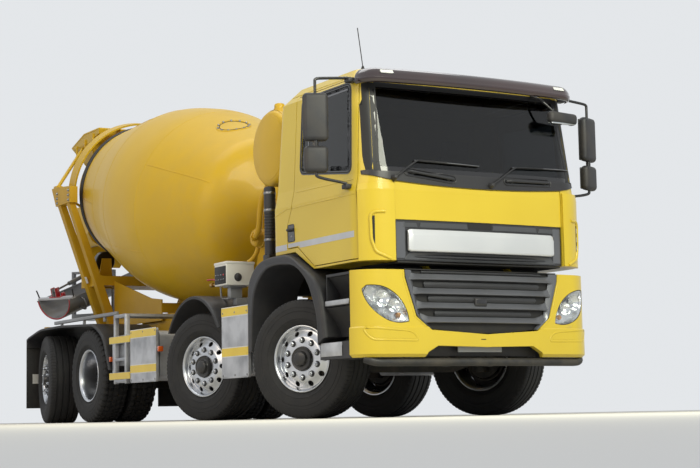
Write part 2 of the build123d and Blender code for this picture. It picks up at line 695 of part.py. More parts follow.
# Gearbox with its motor, on the drum's axis, standing on the front tower's table.
gearbox_steps = [  # start, end, radius, all along the axis in front of the drum's flange
    (0.0, 60.0, 235.0),
    (60.0, 300.0, 205.0),
    (300.0, 420.0, 150.0),
    (420.0, 640.0, 95.0),
]
with BuildPart() as drum_gearbox:
    for start, end, radius in gearbox_steps:
        at = drum_origin + drum_axis_dir * (flange_at - close_gap - start)
        with BuildSketch(Plane(origin=at, x_dir=(0, 1, 0), z_dir=-drum_axis_dir)):
            Circle(radius)
        extrude(amount=end - start)
    add(block((front_tower_x - 120, front_tower_x + 110), (-130, 130), (gearbox_z - 250, gearbox_z - 120)))
write("drum_gearbox", drum_gearbox.part)

# Water tank behind the cab, on two posts a side, with its filler.
tank_post_x = tank_x - 120.0
tank_post_y = 360.0
with BuildPart() as water_tank:
    with Locations((tank_x, 0, tank_z)):
        Cylinder(tank_r, 2 * tank_half, rotation=(90, 0, 0))
    chamfer(water_tank.edges().filter_by(GeomType.CIRCLE), 28)
    for side in (-1, 1):
        add(block((tank_post_x - 45, tank_post_x + 45), (side * (tank_post_y - 40), side * (tank_post_y + 40)),
                  (subframe_top, tank_z - tank_r + 80)))
        add(block((tank_x - 250, tank_x + 230), (side * (tank_post_y - 40), side * (tank_post_y + 40)),
                  (tank_z - tank_r - 40, tank_z - tank_r + 90)))
    with Locations((tank_x, -tank_half + 220, tank_z + tank_r + 5)):
        Cylinder(62, 70)
write("water_tank", water_tank.part)

# Control box above the second axle, on an arm from the subframe.
box_x = axle1_x - 1535.0
box_y = 1030.0
with BuildPart() as control_box:
    add(block((box_x - 145, box_x + 145), (-box_y - 120, -box_y + 120), (1300, 1556)))
    add(block((box_x - 30, box_x + 30), (-box_y - 30, -subframe_half), (1125, 1163)))
    add(block((box_x - 30, box_x + 30), (-box_y - 30, -box_y + 30), (1125, 1320)))
write("control_box", control_box.part)

# Engine as one heavy block, and the radiator against the front cross member.
engine_half = 360.0
with BuildPart() as engine_block:
    add(block((axle1_x - 500, axle1_x + 750), (-300, 300), (640, 1100)))
    add(block((axle1_x - 500, axle1_x + 750), (-engine_half, engine_half), (rail_top, 1520)))
    add(block((frame_front_x - 180, frame_front_x - 60), (-310, 310), (640, 1230)))
write("engine_block", engine_block.part)

# Beams of the steered axles, each with an eye for its kingpin.
beam_outline = [  # Y and height over the hub's centre of one half
    (kingpin_y, 52), (760, 52), (560, -22), (0, -22), (0, -128), (540, -120), (730, -60), (kingpin_y, -60)]
with BuildPart() as steer_axles:
    for name, x, angle in steer_axles_table:
        half = [(y, z + hub_z) for y, z in beam_outline]
        upper, lower = half[:4], half[4:]
        outline = upper[:-1] + [(-y, z) for y, z in reversed(upper[:-1])]
        outline += [(-y, z) for y, z in reversed(lower[1:])] + lower[1:]
        beam = prism(front_plane(x), outline, 48, both=True)
        for side in (-1, 1):
            beam = beam + Pos(x, side * kingpin_y, hub_z) * Cylinder(knuckle_ear_r, axle_eye_h, mode=Mode.PRIVATE)
            beam = beam - Pos(x, side * kingpin_y, hub_z) * Cylinder(kingpin_r + close_gap, 400, mode=Mode.PRIVATE)
        add(beam)
write("steer_axles", steer_axles.part)

# Driven axle with its shafts' tube, the bowl of the differential and the propeller shaft.
drive_tube_r = 75.0
drive_spindle_r = 60.0
with BuildPart() as drive_axle:
    with Locations((axle3_x, 0, drive_hub_z)):
        Cylinder(drive_tube_r, 1120, rotation=(90, 0, 0))
        Cylinder(drive_spindle_r, 2140, rotation=(90, 0, 0))
        Sphere(215)
    with Locations((axle3_x + 215, 0, drive_hub_z)):
        Cylinder(100, 160, rotation=(0, 90, 0))
    with Locations((axle1_x - 506, 0, 708)):
        Cylinder(60, 12, rotation=(0, 90, 0))
    shaft_start = (axle1_x - 508, 0, 705)
    shaft_end = (axle3_x + 280, 0, drive_hub_z)
    add(rod([shaft_start, shaft_end], 42))
write("drive_axle", drive_axle.part)

# Leaf springs with their brackets on the rails.
spring_y = 455.0
spring_half = 640.0
spring_thick = 80.0
spring_seats = [  # X of the axle, height of the seat
    (axle1_x, hub_z - 22), (axle2_x, hub_z - 22), (axle3_x, drive_hub_z + drive_tube_r), (axle4_x, hub_z - 22)]
with BuildPart() as leaf_springs:
    for x, seat in spring_seats:
        for side in (-1, 1):
            end_z = max(seat + 90, 690.0)
            with BuildSketch(side_plane(side * spring_y + 40)):
                with BuildLine():
                    low = [(x - spring_half, end_z), (x, seat), (x + spring_half, end_z)]
                    high = [(a, b + spring_thick) for a, b in low]
                    high[0] = (low[0][0], low[0][1] + 26)
                    high[2] = (low[2][0], low[2][1] + 26)
                    ThreePointArc(*low)
                    ThreePointArc(*high)
                    Line(low[0], high[0])
                    Line(low[2], high[2])
                make_face()
            extrude(amount=80)
            for end in (-1, 1):
                middle = x + end * (spring_half - 20)
                add(block((middle - 45, middle + 45), (side * rail_half, side * (spring_y + 46)),
                          (end_z - 12, rail_top - 110)))
write("leaf_springs", leaf_springs.part)


def bumper_plan(inset, low, high):
    # Slab of the bumper's plan outline between two heights, drawn in by inset.
    with BuildPart() as slab:
        add(rounded_nose(low, bumper_back_x - 400, bumper_front_x - inset, body_half - inset,
                         bumper_bow, bumper_corner_r - inset, 60))
        extrude(amount=high - low)
    return slab.part


# Front bumper: a U-shaped wall with its openings, on two brackets from the rails.
bumper_zone = block((bumper_back_x, bumper_front_x + 50), (-beyond, beyond), (0, beyond))


def lamp_form(side, grow=0):
    # One headlamp's outline, bounded by two arcs, pushed through the bumper's corner.
    top, brow, tip, under, outer = [(side * y, z) for y, z in lamp_outline]
    with BuildPart() as solid:
        with BuildSketch(front_plane(bumper_back_x - 300)):
            with BuildLine():
                ThreePointArc(top, brow, tip)
                ThreePointArc(tip, under, outer)
                Line(outer, top)
            make_face()
            if grow:
                offset(amount=grow, kind=Kind.INTERSECTION)
        extrude(amount=700)
    return solid.part


with BuildPart() as bumper_outside:
    add(bumper_plan(0, bumper_bottom, bumper_lip_z))
    chamfer(bumper_outside.faces().sort_by(Axis.Z)[0].edges(), 26)
    chamfer(bumper_outside.faces().sort_by(Axis.Z)[-1].edges(), bumper_lip - 1)
    add(bumper_plan(bumper_lip, bumper_lip_z, bumper_top))
bumper_ring = (bumper_outside.part - bumper_plan(bumper_wall, bumper_bottom, bumper_top)) & bumper_zone
lamp_cut = [lamp_form(-1), lamp_form(1)]
grille_cut = prism(front_plane(axle1_x + 950), mirrored(grille_outline), 700)
sill_cut = prism(front_plane(axle1_x + 950), mirrored(sill_outline), 700)
with BuildPart() as front_bumper:
    add(bumper_ring)
    for tool in lamp_cut + [grille_cut, sill_cut]:
        add(tool, mode=Mode.SUBTRACT)
    for side in (-1, 1):
        add(block((frame_front_x, frame_front_x + 40), (side * 330, side * 400), (610, 900)))
        add(block((frame_front_x, bumper_front_x - 62), (side * 330, side * 400), (610, 690)))
write("front_bumper", front_bumper.part)

# Lamps: the two headlamps in the bumper's corners and the rear lamps under the cross bar.
with BuildPart() as lamps:
    for side in (-1, 1):
        add((bumper_plan(bumper_lip + 2, bumper_bottom, bumper_top) - bumper_plan(bumper_wall, bumper_bottom, bumper_top))
            & bumper_zone & lamp_form(side, -close_gap))
        add(block((rear_bar_x - 84, rear_bar_x - 40), (side * 690, side * 990), (subframe_top - 30, subframe_top + 55)))
write("lamps", lamps.part)

# Lower grille: louvre slats before a plate, with a sensor box in the third gap.
slat_levels = [  # lower and upper edge
    (1168.0, 1216.0), (1046.0, 1094.0), (924.0, 972.0), (802.0, 850.0)]
with BuildPart() as lower_grille:
    grille_fit = prism(front_plane(axle1_x + 950), mirrored(grille_outline), 700, grow=-close_gap)
    add((bumper_plan(44, 680, bumper_top + 20) - bumper_plan(52, 680, bumper_top + 20)) & bumper_zone & grille_fit)
    for low, high in slat_levels:
        add((bumper_plan(bumper_lip, low, high) - bumper_plan(44, low, high)) & bumper_zone & grille_fit)
    add(soft_block((bumper_front_x - 46, bumper_front_x - 14), (-110, 110), (978, 1040), Axis.X, 14))
write("lower_grille", lower_grille.part)

# Underrun bar below the bumper, hung from the front cross member.
underrun_low, underrun_high = 396.0, bumper_bottom - 3.0
with BuildPart() as underrun_bar:
    add((bumper_plan(30, underrun_low, underrun_high) - bumper_plan(90, underrun_low, underrun_high))
        & block((axle1_x + 1000, bumper_front_x), (-1130, 1130), (0, beyond)))
    level_faces = underrun_bar.faces().filter_by(Axis.Z)
    fillet(level_faces.edges().filter_by(GeomType.CIRCLE), 24)
    for side in (-1, 1):
        add(block((frame_front_x - 60, frame_front_x), (side * 200, side * 260), (underrun_low + 20, rail_top - 290)))
        add(block((frame_front_x - 60, bumper_front_x - 70), (side * 200, side * 260),
                  (underrun_low + 20, underrun_low + 80)))
write("underrun_bar", underrun_bar.part)

# Space that each steered wheel sweeps, kept free in the panels round it.
swing = steer_swing + swing_clearance


def swept_wheel(x, side):
    with BuildPart() as sweep:
        with Locations((x, side * kingpin_y, 425)):
            Cylinder(swing, 850)
        with Locations((x, side * kingpin_y, 975)):
            Cone(swing, 450, 250)
    return sweep.part


# Cab steps between the wheel arch and the bumper.
step_outline = [(axle1_x + 600, 505), (axle1_x + 600, 630), (axle1_x + 727, 693), (axle1_x + 727, 1238),
                (bumper_back_x - 1, 1238), (bumper_back_x - 1, 505)]
with BuildPart() as cab_steps:
    for side in (-1, 1):
        body = prism(side_plane(max(side * 960, side * 1222)), step_outline, 262)
        body = body - block((axle1_x + 735, bumper_back_x + 50), (side * 1030, side * 1300), (1012, 1215))
        body = body - block((axle1_x + 640, bumper_back_x + 50), (side * 1030, side * 1300), (652, 960))
        body = body + block((axle1_x + 840, axle1_x + 900), (side * rail_half, side * 1000), (800, 860))
        add(body - swept_wheel(axle1_x, side))
write("cab_steps", cab_steps.part)

# Mudguards: the front arches, rings over the second axle, the long guards over the last two and their flaps.
arch_outer = [  # X from axle 1, Z
    (-760, 300), (-760, 1290), (-590, 1450), (-350, 1490), (55, 1490), (400, 1308), (580, 1190), (680, 980),
    (775, 300)]
arch_inner = [(-680, 300), (-662, 900), (-620, 1200), (-390, 1385), (-130, 1404), (200, 1372), (425, 1216), (586, 889),
              (600, 300)]
arch_low = 630.0
guard_outer = [(-4090, 300), (-4395, 980), (-4696, 1130), (-5806, 1172), (-6487, 1166), (-6983, 1072), (-6983, 300)]
guard_inner = [(-4118, 300), (-4422, 956), (-4708, 1098), (-5806, 1140), (-6487, 1134), (-6965, 1045), (-6965, 300)]
guard_low = 579.0
corner_round = 90.0
ring_inner, ring_outer, ring_z, ring_end_z = 665.0, 702.0, 550.0, 900.0


def arch_band(outer, inner, far_y, width, low):
    # The band between two outlines with round corners, cut off level at its feet.
    plane = side_plane(far_y)
    whole = prism(plane, [(axle1_x + a, b) for a, b in outer], width, rounds=corner_round)
    opening = prism(plane, [(axle1_x + a, b) for a, b in inner], width, rounds=corner_round)
    return whole - opening - block((axle1_x - 7500, axle1_x + 1500), (far_y + 1, far_y - width - 1), (0, low))


with BuildPart() as mudguards:
    for side in (-1, 1):
        near, far = side * 780, side * 1250
        front_arch = arch_band(arch_outer, arch_inner, max(near, far), 470, arch_low)
        step_slope = prism(side_plane(max(near, far) + 1), [
            (axle1_x + 560, 300), (axle1_x + 560, 617), (axle1_x + 780, 726), (axle1_x + 780, 300)], 472)
        front_arch = front_arch - step_slope
        front_arch = front_arch + block((axle1_x - 760, axle1_x - 712), (side * rail_half, side * 800), (930, 990))
        add(front_arch - swept_wheel(axle1_x, side))
        with BuildSketch(side_plane(max(side * 800, side * 1262))):
            with Locations((axle2_x - 10, ring_z)):
                Circle(ring_outer)
                Circle(ring_inner, mode=Mode.SUBTRACT)
            with Locations((axle2_x, ring_end_z - beyond / 2)):
                Rectangle(beyond, beyond, mode=Mode.SUBTRACT)
        extrude(amount=462)
        add(block((axle2_x - 40, axle2_x + 20), (side * rail_half, side * 820), (1222, 1246)))
        add(block((axle2_x - 40, axle2_x + 20), (side * rail_half, side * (rail_half + 30)), (1110, 1246)))
        near, far = side * 550, side * 1250
        add(arch_band(guard_outer, guard_inner, max(near, far), 700, guard_low)
            - block((axle1_x - 7100, axle1_x - 6900), (near - side, far + side), (0, 1045)))
        add(block((axle1_x - 6999, axle1_x - 6965), (near, far), (1000, 1066)))
        add(block((axle1_x - 6999, axle1_x - 6985), (near, far), (190, 1050)))
        for x, low, high in ((-4420, 900, 958), (-5630, 960, 1150), (-6930, 980, 1060)):
            add(block((axle1_x + x - 20, axle1_x + x + 20), (side * rail_half, side * 590), (low, high)))
write("mudguards", mudguards.part)

# Side tanks on straps from the rails, between the axles.
side_tank_spans = [  # back and front from axle 1, bottom, top
    (-3600.0, -2960.0, 440.0, 960.0),
    (-1296.0, -790.0, 420.0, 1020.0),
]
with BuildPart() as side_tanks:
    for back, front, low, high in side_tank_spans:
        for side in (-1, 1):
            add(soft_block((axle1_x + back, axle1_x + front), (side * 520, side * 1180), (low, high), Axis.Y, 60))
            for share in (0.25, 0.75):
                x = axle1_x + back + (front - back) * share
                add(block((x - 30, x + 30), (side * rail_half, side * 560), (high - 190, high - 80)))
write("side_tanks", side_tanks.part)

# Side guards: smooth panels before the tanks, two bars behind them, and the ladder on the right.
panel_y, panel_face_y = 1205.0, body_half
side_panels = [  # back and front from axle 1, bottom, top, tank behind it: its outer face is at 1180
    (-3630.0, -2930.0, 420.0, 990.0),
    (-1338.0, -766.0, 400.0, 1056.0),
]
guard_bars = [(865.0, 945.0), (465.0, 545.0)]
ladder_back, ladder_front = -4077.0, -3765.0
with BuildPart() as side_guards:
    for side in (-1, 1):
        for back, front, low, high in side_panels:
            add(soft_block((axle1_x + back, axle1_x + front), (side * panel_y, side * panel_face_y), (low, high),
                           Axis.Y, 30))
            for share in (0.25, 0.75):
                x = axle1_x + back + (front - back) * share
                add(block((x - 25, x + 25), (side * 1180, side * panel_y), (high - 200, high - 140)))
        for low, high in guard_bars:
            add(block((axle1_x - 4220, axle1_x - 3600), (side * panel_y, side * panel_face_y), (low, high)))
        add(block((axle1_x - 4190, axle1_x - 4130), (side * (panel_y - 20), side * (panel_y + 10)), (500, 900)))
        add(block((axle1_x - 4190, axle1_x - 4130), (side * rail_half, side * panel_y), (790, 850)))
    for x in (ladder_back, ladder_front):
        add(block((axle1_x + x - 17, axle1_x + x + 17), (-1238, -1190), (420, 1186)))
    for level in (430.0, 670.0, 910.0, 1150.0):
        add(block((axle1_x + ladder_back, axle1_x + ladder_front), (-1238, -1140), (level, level + 30)))
    add(block((axle1_x + ladder_back - 17, axle1_x + ladder_front + 17), (-1238, -subframe_half - 12), (1156, 1186)))
write("side_guards", side_guards.part)

# Air intake behind the cab on the right.
intake_x = axle1_x - 740.0
with BuildPart() as air_intake:
    add(block((intake_x - 70, intake_x + 70), (-1070, -930), (1540, 2215)))
    fillet(air_intake.edges().filter_by(Axis.Z), 40)
    add(block((intake_x - 55, intake_x + 55), (-940, -330), (1560, 1670)))
    add(block((intake_x - 55, intake_x + 55), (-400, -330), (subframe_top, 1600)))
write("air_intake", air_intake.part)

# Cab shell: floor, tunnel over the engine, walls and roof, with openings for the panels and windows.
cab_outer = cab_form(0)
cab_inner = cab_form(cab_wall)
slope_back, slope_front = axle1_x + 73, axle1_x + 417
room_outline = [
    (cab_back_x - 100, cab_high_floor_z + cab_wall), (slope_back + 15, cab_high_floor_z + cab_wall),
    (slope_front + 15, cab_floor_z + cab_wall), (firewall_back_x, cab_floor_z + cab_wall),
    (firewall_back_x, lid_top + 58), (cab_front_x + 100, lid_top + 58), (cab_front_x + 100, cab_roof_z + 50),
    (cab_back_x - 100, cab_roof_z + 50)]
tunnel = block((cab_back_x - 10, tunnel_front_x), (-tunnel_half, tunnel_half), (cab_floor_z - 50, tunnel_top))
tunnel_space = block((cab_back_x - 10, tunnel_front_x - tunnel_skin), (-tunnel_half + tunnel_skin,
                     tunnel_half - tunnel_skin), (cab_floor_z - 50, tunnel_top - tunnel_skin))


def bowed_slab(back_x, half, low, high, dip):
    # Seen from the front: upright sides, a flat foot and a top edge that dips at the middle.
    with BuildPart() as slab:
        with BuildSketch(front_plane(back_x)):
            with BuildLine():
                ThreePointArc((-half, high), (0, high - dip), (half, high))
                Polyline((half, high), (half, low), (-half, low), (-half, high))
            make_face()
        extrude(amount=500)
    return slab.part


lid_pocket = bowed_slab(lid_back_x - close_gap, lid_half + panel_gap, cab_floor_z - 50, lid_top + 4, lid_dip)
screen_cut = prism(front_plane(axle1_x + 900), mirrored(windscreen_outline), 700)
with BuildPart() as cab_shell:
    add(cab_outer)
    add(prism(side_plane(0), [(cab_back_x - 100, cab_floor_z - 50), (cab_back_x - 100, cab_high_floor_z),
                              (slope_back, cab_high_floor_z), (slope_front, cab_floor_z),
                              (slope_front, cab_floor_z - 50)], beyond, both=True), mode=Mode.SUBTRACT)
    add((cab_inner & prism(side_plane(0), room_outline, beyond, both=True)) - tunnel, mode=Mode.SUBTRACT)
    add(tunnel_space, mode=Mode.SUBTRACT)
    add(lid_pocket, mode=Mode.SUBTRACT)
    add(screen_cut, mode=Mode.SUBTRACT)
    for side in (-1, 1):
        add(prism(side_plane(side * 900), door_outline, -side * 500, grow=panel_gap), mode=Mode.SUBTRACT)
    # Arms down to the tilting pins.
    for side in (-1, 1):
        arm_y = (side * (cab_arm_y - cab_arm_w / 2), side * (cab_arm_y + cab_arm_w / 2))
        add(prism(side_plane(max(arm_y)), [
            (cab_pivot_x - 30, cab_pivot_z - 15), (cab_pivot_x + 20, cab_pivot_z + 27),
            (cab_pivot_x - 150, cab_floor_z), (cab_pivot_x - 150, cab_floor_z + 40),
            (cab_pivot_x - 290, cab_floor_z + 40), (cab_pivot_x - 290, cab_floor_z)], cab_arm_w))
        with Locations((cab_pivot_x, side * cab_arm_y, cab_pivot_z)):
            Cylinder(34, cab_arm_w, rotation=(90, 0, 0))
            Cylinder(cab_pivot_r, 80, rotation=(90, 0, 0), mode=Mode.SUBTRACT)
write("cab_shell", cab_shell.part)

glass_band = cab_form(glass_set_in) - cab_form(glass_set_in + glass_thick)
screen_fit = prism(front_plane(axle1_x + 900), mirrored(windscreen_outline), 700, grow=-close_gap)
write("windscreen", glass_band & screen_fit)

for side, letter in ((-1, "r"), (1, "l")):
    leaf = prism(side_plane(side * 900), door_outline, -side * 500)
    window = prism(side_plane(side * 900), window_outline, -side * 500, rounds=45)
    window_fit = prism(side_plane(side * 900), window_outline, -side * 500, rounds=45, grow=-close_gap)
    write(f"door_{letter}", ((cab_outer - cab_inner) & leaf) - window)
    write(f"door_glass_{letter}", glass_band & window_fit)
    # Mirrors: a main and a lower head, hung between two arms from the door.
    head_y = side * 1466.0
    with BuildPart() as mirrors:
        for low, high, head_half in ((2352, 2772, 110), (2080, 2312, 104)):
            with Locations(Location((axle1_x + 1020, head_y, (low + high) / 2), (0, 0, side * mirror_turn))):
                Box(mirror_deep, 2 * head_half, high - low)
        fillet(mirrors.edges(), 28)
        add(rod([(axle1_x + 1020, head_y, 2100), (axle1_x + 1020, head_y, 2895),
                 (axle1_x + 1035, side * 1150, 2925)], 13))
        add(rod([(axle1_x + 1020, head_y, 2200), (axle1_x + 1020, head_y, 2060), (axle1_x + 1050, side * 1240, 2010),
                 (axle1_x + 1060, side * 1195, 1995)], 13))
        for level, reach, depth in ((2925, 1170, 1040), (1995, 1215, 1120)):
            add(block((axle1_x + 1005, axle1_x + 1090), (side * depth, side * reach), (level - 45, level + 5))
                - cab_outer)
    write(f"mirrors_{letter}", mirrors.part)

# Lid of the front, with the louvre panel under it and the bright bar across it.
lid_zone = bowed_slab(lid_back_x, lid_half, lid_bottom, lid_top, lid_dip)
write("front_lid", cab_outer & lid_zone)
grille_zone = block((lid_back_x, cab_front_x + 100), (-lid_half, lid_half),
                    (upper_grille_bottom, lid_bottom))
with BuildPart() as upper_grille:
    add(cab_form(12) & grille_zone)
    for level in (1340.0, 1368.0):
        add(block((cab_front_x - 40, cab_front_x + 50), (-700, 700), (level, level + 16)), mode=Mode.SUBTRACT)
write("upper_grille", upper_grille.part)
bar_zone = block((lid_back_x, cab_front_x + 100), (-bar_half, bar_half), (bar_bottom, bar_top))
write("silver_bar", (cab_form(-bar_proud) - cab_form(12)) & bar_zone)

# Cowl under the windscreen and the panels round the cab's front corners.
cowl_outline = [(1118, 2100), (1118, 2064), (970, lid_top + 24), (lid_half, lid_top + 8), (lid_half, 1900)]
cowl_zone = (prism(front_plane(axle1_x + 1000), mirrored(cowl_outline), 500) - screen_cut
             - bowed_slab(axle1_x + 900, lid_half + 1, 1880, lid_top + 8, lid_dip))
write("cowl_panel", (cab_form(-11) - cab_outer) & cowl_zone)
corner_zone = (block((door_hinge_x + 14, cab_front_x + 100), (-beyond, -lid_half - 12), (cab_floor_z, 1985))
               + block((door_hinge_x + 14, cab_front_x + 100), (lid_half + 12, beyond), (cab_floor_z, 1985)))
write("corner_panels", (cab_form(-25) - cab_outer) & corner_zone)

# Sun visor on four brackets, and the kerb mirror on the left.
visor_front_x = axle1_x + 1388.0
visor_low, visor_high = 2856.0, 2990.0


def visor_slab(inset):
    # Three sections: the rim, the bulge above it and the edge against the roof.
    with BuildPart() as slab:
        sections = []
        for level, back_by in ((visor_low, 18.0), (visor_low + 45, 0.0), (visor_high, 60.0)):
            drawn = inset + back_by
            sections.append(rounded_nose(level, axle1_x + 100 + drawn, visor_front_x - drawn, 1140 - drawn, 60,
                                         200 - drawn, 85 - drawn))
        loft(sections, ruled=True)
    return slab.part


with BuildPart() as sun_visor:
    add(visor_slab(0))
    add(visor_slab(8), mode=Mode.SUBTRACT)
    add(block((axle1_x - beyond, axle1_x + 1130), (-beyond, beyond), (beyond, 2 * beyond)), mode=Mode.SUBTRACT)
    for y in (-1000, -340, 340, 1000):
        add((block((axle1_x + 1090, visor_front_x), (y - 12, y + 12), (2895, 2935)) - cab_outer) & visor_slab(2))
    for side in (-1, 1):
        add(block((axle1_x + 1130, axle1_x + 1160), (side * 1040, side * 1136), (2895, 2935)) - cab_outer)
write("sun_visor", sun_visor.part)
with BuildPart() as kerb_mirror:
    add(block((axle1_x + 1288, axle1_x + 1378), (775, 1085), (2622, 2730)))
    fillet(kerb_mirror.edges(), 30)
    add(rod([(axle1_x + 1120, 700, 2912), (axle1_x + 1245, 740, 2862), (axle1_x + 1332, 880, 2715)], 12) - cab_outer)
write("kerb_mirror", kerb_mirror.part)

# Inside of the cab: seats, dashboard and the steering wheel on the right.
seat_y = 660.0
with BuildPart() as cab_interior:
    for side in (-1, 1):
        y = (side * (seat_y - 220), side * (seat_y + 220))
        add(block((axle1_x + 60, axle1_x + 480), (side * (seat_y - 150), side * (seat_y + 150)),
                  (cab_high_floor_z + cab_wall, 1760)))
        add(block((axle1_x + 20, axle1_x + 540), y, (1760, 1880)))
        add(prism(side_plane(max(y)), [(axle1_x + 20, 1800), (axle1_x + 150, 1800), (axle1_x + 60, 2480),
                                       (axle1_x - 50, 2480)], 440))
        add(block((axle1_x - 70, axle1_x + 20), (side * (seat_y - 130), side * (seat_y + 130)), (2440, 2640)))
    add(block((axle1_x + 960, firewall_back_x), (-1000, 1000), (1820, lid_top + 50)))
    column = [(axle1_x + 1000, -seat_y, 1880), (axle1_x + 790, -seat_y, 2010)]
    add(rod(column, 30))
    wheel_dir = Vector(*column[1]) - Vector(*column[0])
    with Locations(Plane(origin=column[1], z_dir=wheel_dir)):
        Torus(215, 16)
        Box(430, 60, 24)
write("cab_interior", cab_interior.part)


# Wheels. Profiles are drawn with x as the radius and y outward from the middle of the tyre.
def wheel_plane(hub, rolling, side):
    return Plane(origin=hub, x_dir=(0, 0, 1), z_dir=rolling * (-side))


def tyre_outline(radius, width, seat_half):
    half = width / 2
    one = [(rim_seat_r + close_gap, seat_half - 1), (rim_lip_r + close_gap, seat_half + 9),
           (rim_lip_r + 30, half - 6), (radius - 150, half), (radius - 34, half - 14), (radius, half - 46)]
    return one + [(r, -y) for r, y in reversed(one)]


def revolved(plane, points, axis):
    with BuildPart() as solid:
        with BuildSketch(plane):
            with BuildLine():
                Polyline(*points, close=True)
            make_face()
        revolve(axis=axis)
    return solid.part


steer_rim_outline = [
    (rim_lip_r, -157), (rim_seat_r, -146), (rim_seat_r, 146), (rim_lip_r, 157), (rim_lip_r, 165), (290, 165),
    (272, 150), (270, 112), (226, 140), (108, 144), (104, 196), (78, 206), (0, 206), (0, 190),
    (spindle_r + close_gap, 190), (spindle_r + close_gap, -66), (95, -66), (100, 50), (185, 54), (185, -60),
    (200, -60), (200, 76), (112, 118), (224, 116), (268, 84), (272, -150), (290, -165), (rim_lip_r, -165)]
hand_hole_count = 10
hand_hole_at = 222.0
hand_hole_r = 25.0


def ring_of_holes(part, hub, axle, at, radius, count, reach):
    # Round holes through the disc, parallel to the axle.
    first = Vector(0, 0, 1)
    second = axle.cross(first)
    for number in range(count):
        turn = radians(360.0 * (number + 0.5) / count)
        centre = hub + first * (at * cos(turn)) + second * (at * sin(turn))
        with BuildPart() as drill:
            with BuildSketch(Plane(origin=centre, z_dir=axle)):
                Circle(radius)
            extrude(amount=reach)
        part = part - drill.part
    return part


for name, x, angle in steer_axles_table:
    rolling = Vector(cos(radians(angle)), sin(radians(angle)), 0)
    for side, letter in ((-1, "r"), (1, "l")):
        outward = Vector(-side * rolling.Y, side * rolling.X, 0)
        kingpin = Vector(x, side * kingpin_y, hub_z)
        hub = kingpin + outward * (steer_wheel_y - kingpin_y)
        plane = wheel_plane(hub, rolling, side)
        axle_line = Axis(hub, outward)
        rim = revolved(plane, steer_rim_outline, axle_line)
        rim = ring_of_holes(rim, hub + outward * 80, outward, hand_hole_at, hand_hole_r, hand_hole_count, 100)
        tyre = revolved(plane, tyre_outline(steer_tyre_r, steer_tyre_w, 146), axle_line)
        with BuildPart() as wheel:
            add(tyre)
            add(rim)
        write(f"wheel_{name}{letter}", wheel.part)
        # Knuckle: two ears round the beam's eye, the kingpin, a plate and the spindle.
        local = Plane(origin=kingpin, x_dir=rolling, z_dir=(0, 0, 1))
        ear_z = axle_eye_h / 2 + close_gap + knuckle_ear_h / 2
        with BuildPart(local) as knuckle:
            for level in (-1, 1):
                with Locations((0, 0, level * ear_z)):
                    Cylinder(knuckle_ear_r, knuckle_ear_h)
                with Locations((0, side * 52, level * ear_z)):
                    Box(110, 104, knuckle_ear_h)
            Cylinder(kingpin_r, axle_eye_h + 2 * close_gap + knuckle_ear_h)
            with Locations((0, side * 90, 0)):
                Box(110, 36, axle_eye_h + 2 * knuckle_ear_h)
            with Locations((0, side * 214, 0)):
                Cylinder(spindle_r, 280, rotation=(90, 0, 0))
            with Locations((0, side * 100, 0)):
                Cylinder(178, 12, rotation=(90, 0, 0))
        write(f"knuckle_{name}{letter}", knuckle.part)

# Driven wheels: twins that share one hub.
twin_disc = 175.0
for side, letter in ((-1, "r"), (1, "l")):
    outward = Vector(0, side, 0)
    rolling = Vector(1, 0, 0)
    outer_hub = Vector(axle3_x, side * twin_outer_y, drive_hub_z)
    inner_hub = outer_hub - outward * twin_spacing
    disc_hub = outer_hub - outward * twin_disc
    axle_line = Axis(outer_hub, outward)
    with BuildPart() as wheel:
        for hub in (outer_hub, inner_hub):
            tyre_points = tyre_outline(drive_tyre_r, drive_tyre_w, 120)
            add(revolved(wheel_plane(hub, rolling, side), tyre_points, axle_line))
        barrel = [(rim_lip_r, -130), (rim_seat_r, -120), (rim_seat_r, 120), (rim_lip_r, 130), (rim_lip_r, 139),
                  (290, 139), (272, 124), (272, -124), (290, -139), (rim_lip_r, -139)]
        rim = revolved(wheel_plane(outer_hub, rolling, side), barrel, axle_line)
        rim = rim + revolved(wheel_plane(inner_hub, rolling, side), barrel, axle_line)
        web = [(274, 66), (230, 14), (150, 14), (150, 118), (118, 150), (drive_spindle_r + close_gap, 150),
               (drive_spindle_r + close_gap, -150), (120, -150), (120, -14), (230, -14), (274, -66), (274, -44),
               (238, 0), (274, 44)]
        rim = rim + revolved(wheel_plane(disc_hub, rolling, side), web, axle_line)
        drum = [(118, -60), (205, -60), (205, -250), (190, -250), (190, -76), (118, -76)]
        rim = rim + revolved(wheel_plane(disc_hub, rolling, side), drum, axle_line)
        rim = ring_of_holes(rim, disc_hub - outward * 80, outward, hand_hole_at - 4, hand_hole_r - 2,
                            hand_hole_count, 160)
        add(rim)
    write(f"wheel_3{letter}", wheel.part)
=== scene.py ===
import json
import bmesh
import bpy
from math import atan2, ceil, copysign, cos, dist, pi, radians, sin, sqrt, tan
from mathutils import Matrix, Vector
from mathutils.bvhtree import BVHTree


